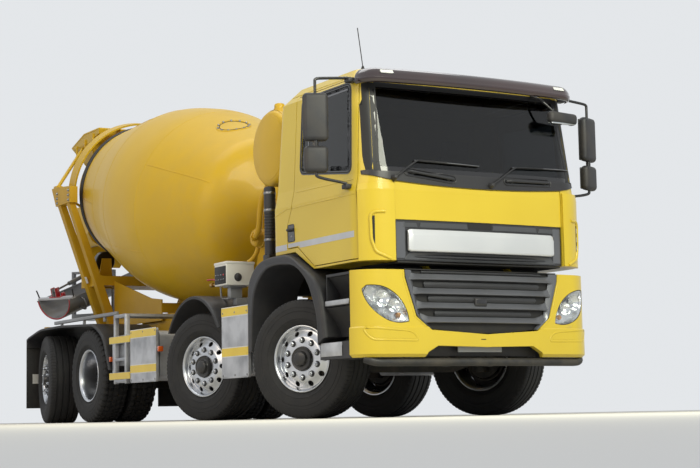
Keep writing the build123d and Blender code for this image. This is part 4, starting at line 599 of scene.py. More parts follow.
for name, side in (("3r", -1), ("3l", 1)):
    hub = joints["roll_" + name]["pos_m"]
    for label, mesh, finish, aside in drivePieces:
        matrix = frameMatrix((hub[0], side * aside, hub[2]), (0, side, 0))
        stoodFor = ("wheel_" + name,) if label == "tyre_outer" else ()
        makeObject(f"{label}_{name}", mesh, finish, "wheel_body_" + name, matrix, stoodFor)
print("wheels made")

# Places on the truck's own surfaces. A view is "front", "right", "left", "back" or "top"; points in it are
# (y, z), (x, z) or (x, y), with x measured from the first axle.
surfaceTrees = {}
viewDirections = {
    "front": (-1, 0, 0), "back": (1, 0, 0), "right": (0, 1, 0), "left": (0, -1, 0), "top": (0, 0, -1)}


def surfaceTree(node):
    if node not in surfaceTrees:
        item = frame["nodes"][node]
        points = [item.matrix_world @ vert.co for vert in item.data.vertices]
        faces = [tuple(face.vertices) for face in item.data.polygons]
        surfaceTrees[node] = BVHTree.FromPolygons(points, faces)
    return surfaceTrees[node]


def surfacePoint(nodes, view, point, start=3):
    # The first place a ray into the view meets one of the named nodes, and the normal there.
    direction = Vector(viewDirections[view])
    if view in ("front", "back"):
        origin = Vector((frontX, point[0], point[1])) - direction * start
    elif view == "top":
        origin = Vector((frontX + point[0], point[1], 6))
    else:
        origin = Vector((frontX + point[0], 0, point[1])) - direction * start
    best = None
    for node in nodes.split():
        place, normal, index, distance = surfaceTree(node).ray_cast(origin, direction)
        if place is not None and (best is None or distance < best[2]):
            best = (place, normal if normal.dot(direction) < 0 else -normal, distance)
    if best is None:
        raise ValueError(f"no surface of {nodes} at {view} {point}")
    return best[0], best[1]


def spread(points, step, cyclic=False):
    # The same path with points no further apart than step.
    line = list(points) + ([points[0]] if cyclic else [])
    dense = []
    for start, end in zip(line, line[1:]):
        length = dist(start, end)
        parts = max(1, ceil(length / step))
        for part in range(parts):
            dense.append(tuple(a + (b - a) * part / parts for a, b in zip(start, end)))
    return dense if cyclic else dense + [tuple(line[-1])]


def softened(points, radius, cyclic=False, parts=5):
    # A path whose corners are rounded off.
    count = len(points)
    result = []
    for index, point in enumerate(points):
        if not cyclic and index in (0, count - 1):
            result.append(tuple(point))
            continue
        here = Vector(point)
        before = Vector(points[index - 1])
        after = Vector(points[(index + 1) % count])
        cut = min(radius, (before - here).length * 0.48, (after - here).length * 0.48)
        first = here + (before - here).normalized() * cut
        last = here + (after - here).normalized() * cut
        for part in range(parts + 1):
            share = part / parts
            result.append(
                tuple(first * (1 - share) ** 2 + here * 2 * share * (1 - share) + last * share ** 2))
    return result


def pointAlong(path, share):
    lengths = [0]
    for start, end in zip(path, path[1:]):
        lengths.append(lengths[-1] + dist(start, end))
    target = share * lengths[-1]
    index = next((k for k in range(len(path) - 2) if target <= lengths[k + 1]), len(path) - 2)
    part = (target - lengths[index]) / max(lengths[index + 1] - lengths[index], 1e-9)
    return Vector(path[index]).lerp(Vector(path[index + 1]), min(max(part, 0), 1))


def ringMesh(name, rings, angle, cyclic=False, closed=False):
    # A skin over rings of points, from one to the next, with the ends filled unless it runs round.
    size, count = len(rings[0]), len(rings)
    faces = []
    for index in range(count if cyclic else count - 1):
        here, there = index * size, (index + 1) % count * size
        faces += [(here + k, there + k, there + (k + 1) % size, here + (k + 1) % size) for k in range(size)]
    if not cyclic:
        faces += [tuple(range(size)), tuple((count - 1) * size + k for k in reversed(range(size)))]
    return meshFrom(name, [point for ring in rings for point in ring], faces, angle, closed)


def band(name, nodes, view, points, width, height, finish, body="truck", cyclic=False, rounded=True,
         step=0.03, sink=0.001, radius=0, replaces=()):
    # A strip laid along a path on a surface, with a rounded or a flat top.
    path = softened(points, radius, cyclic) if radius else points
    hits = [surfacePoint(nodes, view, point) for point in spread(path, step, cyclic)]
    count = len(hits)
    if rounded:
        section = [(cos(pi * k / 8), sin(pi * k / 8)) for k in range(9)]
    else:
        section = [(1, 0), (1, 1), (-1, 1), (-1, 0)]
    rings = []
    for index, (place, normal) in enumerate(hits):
        before = hits[index - 1][0] if cyclic or index else hits[0][0]
        after = hits[(index + 1) % count][0] if cyclic or index < count - 1 else hits[-1][0]
        across = (after - before).cross(normal).normalized()
        rings.append(
            [place + across * (share * width / 2) + normal * (up * height - sink) for share, up in section])
    return makeObject(name, ringMesh(name, rings, 45, cyclic), finish, body, replaces=replaces)


def sheet(name, nodes, view, low, high, height, finish, body="truck", columns=12, rows=6, sink=0.001,
          lift=0, replaces=()):
    # A thin panel on a surface between two paths of the same number of points.
    top, bottom = [], []
    for row in range(rows + 1):
        for column in range(columns + 1):
            share = column / columns
            point = pointAlong(low, share).lerp(pointAlong(high, share), row / rows)
            spot, normal = surfacePoint(nodes, view, tuple(point))
            top.append(spot + normal * (height + lift))
            bottom.append(spot + normal * (lift - sink))
    return closedSheet(name, top, bottom, columns, rows, finish, body, replaces)


def closedSheet(name, top, bottom, columns, rows, finish, body="truck", replaces=()):
    # A piece from two grids of points, joined along their edges.
    count = len(top)
    faces = []
    wide = columns + 1
    for row in range(rows):
        for column in range(columns):
            a, b = row * wide + column, row * wide + column + 1
            c, d = b + wide, a + wide
            faces.append((a, b, c, d))
            faces.append((count + d, count + c, count + b, count + a))
    edge = [k for k in range(wide)] + [row * wide + columns for row in range(1, rows + 1)]
    edge += [rows * wide + k for k in reversed(range(columns))]
    edge += [row * wide for row in reversed(range(1, rows))]
    for a, b in zip(edge, edge[1:] + edge[:1]):
        faces.append((b, a, count + a, count + b))
    return makeObject(name, meshFrom(name, top + bottom, faces, closed=True), finish, body, replaces=replaces)


def at(x, y, z):
    return Vector((frontX + x, y, z))


# Sun visor: a smoked sheet in one sweep round the cab's front, with a rolled rim, a crease and marker lamps.
visorSettings = {
    "half": 1.14, "front": 1.388, "bow": 0.06, "corner": 0.2, "backX": 1.132, "thickness": 0.005,
    "levels": [(2.857, 0.03), (2.86, 0.019), (2.868, 0.01), (2.884, 0.003), (2.901, 0.001), (2.906, 0.004),
               (2.926, 0.008), (2.948, 0.018), (2.966, 0.031), (2.98, 0.046), (2.988, 0.062)],
}


def nosePath(half, front, bow, corner, backX, samples=26):
    # Plan path from the left back round the front to the right back, with x from the first axle.
    cornerY = half - corner
    shoulder = front - bow
    path = [(backX, half), (backX + (shoulder - corner - backX) * 0.5, half)]
    for k in range(9):
        angle = pi / 2 * (1 - k / 8)
        path.append((shoulder - corner + corner * cos(angle), cornerY + corner * sin(angle)))
    for k in range(1, samples):
        y = cornerY * (1 - 2 * k / samples)
        path.append((front - bow * (y / cornerY) ** 2, y))
    right = [(x, -y) for x, y in path[:11]]
    return path + right[::-1]


visorOuter, visorInner = [], []
for z, drawn in visorSettings["levels"]:
    for target, extra in ((visorOuter, 0), (visorInner, visorSettings["thickness"])):
        inset = drawn + extra
        plan = nosePath(visorSettings["half"] - inset, visorSettings["front"] - inset, visorSettings["bow"],
                        visorSettings["corner"] - inset, visorSettings["backX"])
        target.extend(at(x, y, z) for x, y in plan)
visorColumns = len(plan) - 1
closedSheet("visorSheet", visorOuter, visorInner, visorColumns, len(visorSettings["levels"]) - 1,
            "smokedAcrylic", "cab", replaces=("sun_visor",))
for y in (-1, -0.34, 0.34, 1):
    place, normal = surfacePoint("sun_visor", "front", (y, 2.915))
    inner = place - normal * 0.006
    blocks(f"visorBracket{y:.2f}", [((-0.16, -0.011, -0.018), (0, 0.011, 0.018))], 0.004, 2, "frameBlack",
           "cab", moved(inner))
for y in (-0.93, -0.62, -0.31, 0, 0.31, 0.62, 0.93):
    place, normal = surfacePoint("sun_visor", "front", (y, 2.93))
    turned(f"visorRivet{y:.2f}", [(0, 0.003), (0.005, 0.0025), (0.007, 0), (0.007, -0.004)], 16,
           "machinedSteel", frameMatrix(place, normal), "cab")
for side in (-1, 1):
    sheet(f"visorLampRim{side}", "sun_visor", "front", [(side * 0.85, 2.925), (side * 0.985, 2.925)],
          [(side * 0.85, 2.965), (side * 0.985, 2.965)], 0.01, "mouldedBlack", "cab", 8, 2)
    sheet(f"visorLamp{side}", "sun_visor", "front", [(side * 0.858, 2.931), (side * 0.977, 2.931)],
          [(side * 0.858, 2.959), (side * 0.977, 2.959)], 0.014, "whiteLens", "cab", 8, 2)
print("visor made")

# Cowl: wipers, grab handles and the black border of the windscreen.
cowlSettings = {"wiperRise": 0.03, "handleRise": 0.022}
wipers = {  # pivot, elbow and blade ends as (y, z)
    "right": [(-0.886, 2.03), (-0.638, 2.19), (-0.343, 2.186), (-0.006, 2.174)],
    "left": [(0.095, 2.008), (0.386, 2.184), (0.702, 2.194), (1.01, 2.204)],
}
glassAndCowl = "windscreen cowl_panel cab_shell front_lid"
for label, path in wipers.items():
    lifted = []
    for point in spread(path[:2], 0.09) + spread(path[1:], 0.12)[1:]:
        place, normal = surfacePoint(glassAndCowl, "front", point)
        lifted.append(place + normal * cowlSettings["wiperRise"])
    pivot, normal = surfacePoint(glassAndCowl, "front", path[0])
    turned(f"wiperCap_{label}", [(0, 0.05), (0.012, 0.049), (0.018, 0.042), (0.024, 0.02), (0.028, 0),
                                 (0.028, -0.01)], 28, "mouldedBlack", frameMatrix(pivot, normal), "cab")
    tube(f"wiperArm_{label}", lifted[:5], 0.009, "hubBlack", "cab")
    tube(f"wiperNeck_{label}", lifted[2:8], 0.005, "hubBlack", "cab")
    bladePath = []
    for share in range(11):
        y = path[1][0] - 0.03 + (path[3][0] - path[1][0] + 0.03) * share / 10
        z = path[1][1] + (path[3][1] - path[1][1]) * share / 10
        place, normal = surfacePoint(glassAndCowl, "front", (y, z))
        bladePath.append((place, normal))
    tube(f"wiperBlade_{label}", [p + n * 0.012 for p, n in bladePath], 0.0075, "blackRubber", "cab")
    tube(f"wiperSpine_{label}", [p + n * (0.02 + 0.006 * sin(pi * k / 10))
                                 for k, (p, n) in enumerate(bladePath)], 0.0045, "machinedSteel", "cab")
for label, start, end in (("right", (-0.745, 2.09), (-0.3, 2.04)), ("left", (0.28, 2.058), (0.742, 2.066))):
    nodes = "windscreen cowl_panel cab_shell"
    ring = []
    startV, endV = Vector(start), Vector(end)
    along = (endV - startV).normalized()
    aside = Vector((-along.y, along.x))
    half = 0.034
    for k in range(9):
        angle = pi / 2 + pi * k / 8
        ring.append(tuple(startV + along * (cos(angle) * half) + aside * (sin(angle) * half)))
    for k in range(9):
        angle = -pi / 2 + pi * k / 8
        ring.append(tuple(endV + along * (cos(angle) * half) + aside * (sin(angle) * half)))
    band(f"handleRim_{label}", nodes, "front", ring, 0.012, 0.008, "cowlBlack", "cab", cyclic=True)
    upper = [tuple(startV + aside * 0.03), tuple(endV + aside * 0.03)]
    lower = [tuple(startV - aside * 0.03), tuple(endV - aside * 0.03)]
    sheet(f"handleDish_{label}", nodes, "front", lower, upper, 0.0015, "glossBlack", "cab", 16, 3)
    grip = []
    for share in (-0.02, 0.04, 0.12, 0.5, 0.88, 0.96, 1.02):
        point = startV.lerp(endV, share)
        place, normal = surfacePoint(nodes, "front", tuple(point))
        grip.append(place + normal * (0.004 if share in (-0.02, 1.02) else cowlSettings["handleRise"]))
    tube(f"handleGrip_{label}", grip, 0.013, "mouldedBlack", "cab", resolution=10)
    for share in (0.1, 0.9):
        point = startV.lerp(endV, share)
        place, normal = surfacePoint(nodes, "front", tuple(point))
        turned(f"handlePost_{label}{share:.1f}", [(0, 0.026), (0.014, 0.024), (0.018, 0.01), (0.02, 0)], 20,
               "mouldedBlack", frameMatrix(place, normal), "cab")
screenEdge = [(-1.03, 2.105), (-0.985, 2.855), (0.985, 2.855), (1.03, 2.105)]
band("screenBorder", "windscreen", "front", screenEdge, 0.05, 0.0008, "glossBlack", "cab", cyclic=True,
     rounded=False, sink=0.0002, radius=0.05)
print("cowl made")


def arcThrough(first, middle, last, parts):
    # Points on the circle through three points, from the first to the last.
    (ax, ay), (bx, by), (cx, cy) = first, middle, last
    d = 2 * (ax * (by - cy) + bx * (cy - ay) + cx * (ay - by))
    ux = ((ax * ax + ay * ay) * (by - cy) + (bx * bx + by * by) * (cy - ay)
          + (cx * cx + cy * cy) * (ay - by)) / d
    uy = ((ax * ax + ay * ay) * (cx - bx) + (bx * bx + by * by) * (ax - cx)
          + (cx * cx + cy * cy) * (bx - ax)) / d
    radius = dist((ux, uy), first)
    angles = [atan2(y - uy, x - ux) for x, y in (first, middle, last)]
    for k in (1, 2):
        while angles[k] - angles[k - 1] > pi:
            angles[k] -= 2 * pi
        while angles[k] - angles[k - 1] < -pi:
            angles[k] += 2 * pi
    spanned = [angles[0] + (angles[2] - angles[0]) * k / parts for k in range(parts + 1)]
    return [(ux + radius * cos(a), uy + radius * sin(a)) for a in spanned]


# Headlamps: a clear lens over a fluted silver tub with two bowls, their bulbs and an amber corner.
lampSettings = {
    "top": (1.138, 1.112), "brow": (0.905, 1.049), "tip": (0.77, 0.808), "under": (1.057, 0.87),
    "outer": (1.163, 1.079), "lensThickness": 0.004, "tubDepth": 0.052,
    "bowls": [((1.02, 1), 0.07), ((0.905, 0.94), 0.056)],
}
lampNodes = "lamps front_bumper"
for side, label in sides:
    high = arcThrough(lampSettings["tip"], lampSettings["brow"], lampSettings["top"], 20)
    low = arcThrough(lampSettings["tip"], lampSettings["under"], lampSettings["outer"], 20)
    lensTop, lensBack, tubTop, tubBack = [], [], [], []
    rows, columns = 12, 20
    for row in range(rows + 1):
        for column in range(columns + 1):
            share = row / rows
            y = low[column][0] + (high[column][0] - low[column][0]) * share
            z = low[column][1] + (high[column][1] - low[column][1]) * share
            place, normal = surfacePoint(lampNodes, "front", (side * y, z))
            edge = max(
                abs(2 * share - 1) ** 6, (2 * column / columns - 1) ** 6 if column > columns / 2 else 0)
            depth = 0.006 + lampSettings["tubDepth"] * (1 - edge) * min(1, column / 4)
            lensTop.append(place)
            lensBack.append(place - normal * lampSettings["lensThickness"])
            tubTop.append(place - normal * depth)
            tubBack.append(place - normal * (depth + 0.002))
    stoodFor = ("lamps",) if side < 0 else ()
    closedSheet("lampLens_" + label, lensTop, lensBack, columns, rows, "lampGlass", replaces=stoodFor)
    closedSheet("lampTub_" + label, tubTop, tubBack, columns, rows, "flutedSilver")
    rim = [(side * y, z) for y, z in high + low[::-1][1:-1]]
    band("lampRim_" + label, lampNodes, "front", rim, 0.007, 0.0025, "meshBlack", cyclic=True, step=0.04)
    for number, ((y, z), radius) in enumerate(lampSettings["bowls"]):
        place, normal = surfacePoint(lampNodes, "front", (side * y, z))
        facing = (normal + Vector((1.6, 0, 0.02))).normalized()
        matrix = frameMatrix(place - normal * 0.012, facing)
        profile = [(radius, 0), (radius + 0.003, 0.002), (radius + 0.003, -0.003)]
        profile += [(radius * k / 8, -0.042 * (1 - (k / 8) ** 2) - 0.002) for k in range(8, 1, -1)]
        turned(f"lampBowl_{label}{number}", profile, 40, "lampChrome", matrix)
        turned(f"lampBulb_{label}{number}", [(0, -0.01), (0.006, -0.012), (0.009, -0.018), (0.01, -0.03),
                                             (0.012, -0.044)], 20, "whiteLens", matrix)
    place, normal = surfacePoint(lampNodes, "front", (side * 0.852, 0.862))
    turned("lampAmber_" + label, [(0, -0.012), (0.014, -0.015), (0.02, -0.024), (0.022, -0.036)], 24,
           "amberLens", frameMatrix(place - normal * 0.006, normal))

# Rear lamps: a black housing with red, orange and red fields.
lampNode = frame["nodes"]["lamps"]
lampPoints = [lampNode.matrix_world @ vert.co for vert in lampNode.data.vertices]
rearPoints = [point for point in lampPoints if point.x < frontX - 5]
for side, label in sides:
    own = [p for p in rearPoints if p.y * side > 0]
    low = Vector([min(p[k] for p in own) for k in range(3)])
    high = Vector([max(p[k] for p in own) for k in range(3)])
    blocks("rearLampBody_" + label, [((low.x + 0.008, low.y, low.z), tuple(high))], 0.01, 3, "mouldedBlack",
           "truck", matrix=Matrix())
    wide = (high.y - low.y - 0.016) / 3
    order = ("redLens", "orangeLens", "redLens")
    for number in range(3):
        start = low.y + 0.008 + number * wide
        blocks(f"rearLens_{label}{number}", [((low.x + 0.001, start + 0.003, low.z + 0.009),
                                              (low.x + 0.02, start + wide - 0.003, high.z - 0.009))], 0.006,
               3, order[number], "truck", matrix=Matrix())
print("lamps made")

# Lower grille: flared slats before a perforated plate and a near-black backing that is partly painted shade,
# bright-edged bezels and a small sensor box.
grilleSettings = {
    "outline": [(1.244, 0.802), (1.18, 0.796), (0.85, 0.692), (0.742, 0.556), (0.708, 0.16)],
    "slats": [(1.168, 1.216), (1.046, 1.094), (0.924, 0.972), (0.802, 0.85)],
    "meshBands": [(1.219, 1.243, 0.635), (1.099, 1.152, 0.61), (0.977, 1.03, 0.57), (0.855, 0.9, 0.51)],
    "flare": 0.11, "front": 1.388, "bow": 0.048, "cornerY": 0.965,
}


def bumperX(y, inset):
    return grilleSettings["front"] - inset - grilleSettings["bow"] * (y / grilleSettings["cornerY"]) ** 2


def grilleHalf(z):
    outline = grilleSettings["outline"]
    for (z1, y1), (z2, y2) in zip(outline, outline[1:]):
        if z >= z2:
            return y2 + (y1 - y2) * (z - z2) / (z1 - z2)
    return outline[-1][1]


def strip(name, columns, section, finish, body="truck", replaces=(), angle=35):
    # A closed section carried along a list of stations; section(station) gives the points of one end.
    points, faces = [], []
    for station in columns:
        ring = section(station)
        size = len(ring)
        points.extend(ring)
    for index in range(len(columns) - 1):
        for k in range(size):
            other = (k + 1) % size
            faces.append(
                (index * size + k, index * size + other, (index + 1) * size + other, (index + 1) * size + k))
    faces.append(tuple(range(size)))
    faces.append(tuple((len(columns) - 1) * size + k for k in reversed(range(size))))
    return makeObject(name, meshFrom(name, points, faces, angle, True), finish, body, replaces=replaces)


# The backing is near-black: partly the plate's own black, partly painted shade between the slats.
plateTop, plateBack = [], []
for row in range(15):
    z = 0.712 + (1.243 - 0.712) * row / 14
    half = grilleHalf(z) - 0.004
    for column in range(41):
        y = half * (2 * column / 40 - 1)
        plateTop.append(at(bumperX(y, 0.053), y, z))
        plateBack.append(at(bumperX(y, 0.056), y, z))
closedSheet("grilleBackingAndShade", plateTop, plateBack, 40, 14, "meshBlack", replaces=("lower_grille",))
for number, (low, high) in enumerate(grilleSettings["slats"]):
    reach = grilleHalf((low + high) / 2) - 0.012
    stations = [reach * (2 * k / 48 - 1) for k in range(49)]

    def slatSection(y, low=low, high=high, reach=reach):
        ending = max(0, 1 - (reach - abs(y)) / grilleSettings["flare"])
        grow = ending ** 1.6
        bottom, top = low - 0.004 - 0.012 * grow, high + 0.034 * grow
        front = 0.013 + 0.01 * grow
        return [at(bumperX(y, front + 0.004), y, bottom), at(bumperX(y, front), y, bottom + 0.004),
                at(bumperX(y, front), y, bottom + 0.013 + 0.01 * grow),
                at(bumperX(y, front + 0.006), y, bottom + 0.018 + 0.012 * grow),
                at(bumperX(y, front + 0.024 - 0.006 * grow), y, top - 0.004),
                at(bumperX(y, front + 0.029), y, top), at(bumperX(y, 0.052), y, top),
                at(bumperX(y, 0.052), y, bottom)]

    strip(f"slat_{number}", stations, slatSection, "slatGrey", angle=28)
for number, (low, high, reach) in enumerate(grilleSettings["meshBands"]):
    top, back = [], []
    for row in range(7):
        share = row / 6
        z = low + (high - low) * share
        swell = 0.01 * sin(pi * share)
        for column in range(41):
            y = reach * (2 * column / 40 - 1) * (1 - 0.03 * (2 * share - 1) ** 2)
            top.append(at(bumperX(y, 0.044 - swell), y, z))
            back.append(at(bumperX(y, 0.05), y, z))
    closedSheet(f"meshBand_{number}", top, back, 40, 6, "perforatedSheet")
for side in (-1, 1):
    rows = 16
    top, back = [], []
    for row in range(rows + 1):
        z = 0.748 + (1.245 - 0.748) * row / rows
        outer = grilleHalf(z) + 0.001
        wide = 0.03 + 0.05 * ((z - 0.748) / 0.5) ** 0.8
        for column in range(7):
            share = column / 6
            y = outer - wide * share
            sunk = 0.011 + 0.03 * share ** 1.5
            top.append(at(bumperX(y, sunk), side * y, z))
            back.append(at(bumperX(y, sunk + 0.006), side * y, z))
    closedSheet(f"grilleBezel{side}", top, back, 6, rows, "bezelGrey")
    edge = [(side * (grilleHalf(z) + 0.022), z) for z in (1.238, 1.18, 1.05, 0.95, 0.85, 0.79, 0.748)]
    band(f"grilleEdge{side}", "front_bumper", "front", edge, 0.016, 0.005, "cabEnamel")
blocks("sensorBox", [((1.338, -0.106, 0.94), (1.373, 0.022, 1.016))], 0.014, 4, "mouldedBlack")
blocks("sensorFace", [((1.366, -0.092, 0.952), (1.3745, 0.008, 1.004))], 0.004, 2, "glossBlack")
# A black filler behind the gap over the grille: painted shade, so the gap reads dark where light would show
# through.
blocks("gapShadeFiller", [((1.06, -0.8, 1.2465), (1.335, 0.8, 1.256)), ((1.05, -0.8, 1.2465), (1.07, 0.8, 1.3))],
       0.004, 2, "blackRubber")
print("lower grille made")

# Underrun bar: a black tube that follows the bumper, its ends turned back, on two brackets.
barPath = [at(bumperX(1.08, 0.12), -1.128, 0.492), at(bumperX(1.06, 0.085), -1.105, 0.478)]
barPath += [at(bumperX(abs(1.05 * k / 12), 0.064), 1.05 * k / 12, 0.463) for k in range(-12, 13)]
barPath += [at(bumperX(1.06, 0.085), 1.105, 0.478), at(bumperX(1.08, 0.12), 1.128, 0.492)]
tube("underrunTube", barPath, 0.036, "frameBlack", resolution=12, replaces=("underrun_bar",))
barHangers = []
for y in (-0.23, 0.23):
    barHangers += [((1.03, y - 0.03, 0.43), (1.09, y + 0.03, 0.7)),
                   ((1.04, y - 0.026, 0.436), (1.318, y + 0.026, 0.49))]
blocks("barHangers", barHangers, 0.006, 2, "frameBlack")

# Bumper: the sunk fields at its lower corners, the towing hatch and the blank plate in the low opening.
bumperSettings = {
    "field": [(1.172, 0.756), (0.772, 0.728), (0.716, 0.7), (0.69, 0.645), (1.105, 0.65), (1.152, 0.7)],
    "hatch": [(-0.252, 0.69), (-0.252, 0.664), (0.172, 0.664), (0.172, 0.69)],
}
for side in (-1, 1):
    field = [(side * y, z) for y, z in bumperSettings["field"]]
    band(f"bumperField{side}", "front_bumper", "front", field, 0.02, 0.0045, "cabEnamel", cyclic=True,
         radius=0.035)
    inner = [
        (side * (0.93 + (y - 0.93) * 0.93), 0.702 + (z - 0.702) * 0.72) for y, z in bumperSettings["field"]]
    band(f"bumperFieldLine{side}", "front_bumper", "front", inner, 0.005, 0.0012, "cabEnamel", cyclic=True,
         radius=0.03)
band("hatchSeam", "front_bumper", "front", bumperSettings["hatch"], 0.0045, 0.0005, "meshBlack",
     rounded=False, radius=0.012)
# Painted shade: a thin black sheet for the hatch's slot.
sheet("hatchSlotShade", "front_bumper", "front", [(-0.065, 0.652), (-0.015, 0.652)],
      [(-0.065, 0.66), (-0.015, 0.66)], 0.0006, "meshBlack", "truck", 3, 1)
blocks("openingInside", [((1.245, -0.6, 0.515), (1.262, 0.6, 0.64)),
                         ((1.262, -0.6, 0.618), (1.325, 0.6, 0.628))], 0.004, 2, "mouldedBlack")
blocks("blankPlate", [((1.318, -0.27, 0.548), (1.33, 0.19, 0.606)),
                      ((1.262, -0.2, 0.56), (1.319, -0.17, 0.59)),
                      ((1.262, 0.09, 0.56), (1.319, 0.12, 0.59))], 0.004, 2, "greyEnamel")

# Silver bar with its crease, and the parts of the upper grille round it.
barRows = [(1.4015, 0.014), (1.404, 0.006), (1.41, 0.001), (1.42, 0), (1.545, 0), (1.551, 0.0015),
           (1.5555, 0.0045), (1.586, 0.013), (1.592, 0.0165), (1.5945, 0.024)]
top, back = [], []
for z, sunk in barRows:
    for column in range(61):
        y = 0.7675 * (2 * column / 60 - 1)
        ending = max(0, (abs(y) - 0.745) / 0.0225)
        height = 1.498 + (z - 1.498) * (1 - 0.1 * ending ** 3)
        place, normal = surfacePoint(
            "silver_bar", "front", (min(max(y, -0.765), 0.765), min(max(z, 1.406), 1.59)))
        top.append(Vector((place.x - sunk - 0.008 * ending ** 3, y, height)))
        back.append(Vector((place.x - 0.03, y, height)))
closedSheet(
    "silverBar", top, back, 60, len(barRows) - 1, "sprayedSilver", "front_flap", replaces=("silver_bar",))
for label, low, high, ceiling in (("right", -0.64, -0.15, 1.655), ("left", 0.11, 0.6, 1.655),
                                  ("rightEnd", -0.8, -0.66, 1.65), ("leftEnd", 0.62, 0.79, 1.65)):
    sheet("grilleTrim_" + label, "upper_grille", "front", [(low, 1.612), (high, 1.612)],
          [(low + 0.012, ceiling), (high - 0.012, ceiling)], 0.005, "trimGrey", "front_flap", 14, 2)
# Painted shade: a thin black sheet in the notch between the trims.
sheet("grilleNotchShade", "upper_grille", "front", [(-0.14, 1.614), (0.1, 1.614)],
      [(-0.15, 1.668), (0.11, 1.668)], 0.002, "meshBlack", "front_flap", 6, 2)
sheet("grilleLedge", "upper_grille", "front", [(-0.8, 1.333), (0.8, 1.333)],
      [(-0.745, 1.394), (0.745, 1.394)], 0.007, "trimGrey", "front_flap", 30, 3)
for side in (-1, 1):
    sheet(f"grilleCheek{side}", "upper_grille", "front", [(side * 0.868, 1.345), (side * 0.782, 1.345)],
          [(side * 0.868, 1.655), (side * 0.782, 1.655)], 0.004, "bezelGrey", "front_flap", 3, 8)
print("upper grille made")

# Corner panels: a C-shaped air lip on each, with a near-black sheet at its open side as painted shade in the
# duct, and on the left three silver marks as painted highlights on its ribs.
for side in (-1, 1):
    lip = [(side * y, z) for y, z in ((0.985, 1.737), (1.072, 1.735), (1.095, 1.705), (1.091, 1.5),
                                      (1.06, 1.392), (0.94, 1.335))]
    band(f"cornerLip{side}", "corner_panels", "front", lip, 0.03, 0.016, "cabEnamel", "cab", radius=0.03)
    # Painted shade: a near-black sheet inside the duct's opening.
    sheet(f"cornerSlotShade{side}", "corner_panels", "front", [(side * 1.066, 1.44), (side * 1.082, 1.44)],
          [(side * 1.066, 1.7), (side * 1.084, 1.7)], 0.003, "meshBlack", "cab", 2, 8)
    # Painted highlights: silver marks where the ribs in the left duct catch the light.
    for z in (1.47, 1.55, 1.63) if side > 0 else ():
        sheet(f"cornerRibHighlight{side}{z:.2f}", "corner_panels", "front", [(side * 1.068, z), (side * 1.081, z)],
              [(side * 1.068, z + 0.045), (side * 1.081, z + 0.045)], 0.005, "stripeSilver", "cab", 2, 2)
print("corner panels made")

# Mirrors: rounded housings with the glass set into their inner faces, on bent tube arms.
mirrorSettings = {
    "turn": 24, "centreX": 1.02, "centreY": 1.466, "deep": 0.088,
    "heads": [(2.352, 2.772, 0.11), (2.08, 2.312, 0.104)],
}
for side, view in sides:
    label, body = view[0], view + "_door"
    turn = Matrix.Rotation(radians(side * mirrorSettings["turn"]), 4, "Z")
    for number, (low, high, half) in enumerate(mirrorSettings["heads"]):
        centre = at(mirrorSettings["centreX"], side * mirrorSettings["centreY"], (low + high) / 2)
        matrix = moved(centre) @ turn
        deep, tall = mirrorSettings["deep"] / 2, (high - low) / 2
        blocks(f"mirrorHead_{label}{number}", [((-deep, -half, -tall), (deep, half, tall))], 0.04, 6,
               "mouldedBlack", body, matrix, ("mirrors_" + label,) if number == 0 else ())
        blocks(f"mirrorFrame_{label}{number}", [((-deep - 0.004, -half + 0.014, -tall + 0.014),
                                                 (-deep + 0.012, half - 0.014, tall - 0.014))], 0.01, 3,
               "cowlBlack", body, matrix)
        blocks(f"mirrorGlass_{label}{number}", [((-deep - 0.006, -half + 0.022, -tall + 0.022),
                                                 (-deep, half - 0.022, tall - 0.022))], 0.004, 2,
               "mirrorGlass", body, matrix)
    x, y = mirrorSettings["centreX"], side * mirrorSettings["centreY"]
    tube(f"mirrorArmTop_{label}", [at(x, y, 2.7), at(x, y, 2.86), at(x, y, 2.895),
                                   at(x + 0.006, y - side * 0.06, 2.905), at(1.038, side * 1.15, 2.925)],
         0.013, "hubBlack", body, resolution=10)
    tube(f"mirrorArmMid_{label}", [at(x, y, 2.29), at(x, y, 2.38)], 0.022, "hubBlack", body, smooth=False)
    tube(f"mirrorArmLow_{label}", [at(x, y, 2.12), at(x, y, 2.075), at(x, y, 2.05),
                                   at(x + 0.012, y - side * 0.09, 2.028), at(1.05, side * 1.24, 2.01),
                                   at(1.06, side * 1.19, 1.996)], 0.013, "hubBlack", body, resolution=10)
    for level, reach, depth in ((2.905, 1.17, 1.075), (1.972, 1.215, 1.15)):
        blocks(f"mirrorFoot_{label}{level:.2f}", [((1.008, side * depth, level - 0.02),
                                                   (1.088, side * reach, level + 0.022))], 0.008, 3,
               "mouldedBlack", body)
blocks("kerbHead", [((-0.045, -0.155, -0.052), (0.045, 0.155, 0.052))], 0.034, 5, "mouldedBlack", "cab",
       moved(at(1.333, 0.93, 2.676)) @ Matrix.Rotation(radians(-3), 4, "X"), ("kerb_mirror",))
blocks("kerbGlass", [((-0.03, -0.135, -0.056), (0.03, 0.135, -0.04))], 0.006, 3, "mirrorGlass", "cab",
       moved(at(1.333, 0.93, 2.676)))
tube("kerbArm", [at(1.12, 0.7, 2.912), at(1.18, 0.718, 2.89), at(1.245, 0.742, 2.858), at(1.3, 0.8, 2.79),
                 at(1.33, 0.88, 2.7)], 0.012, "hubBlack", "cab", resolution=8)
print("mirrors made")

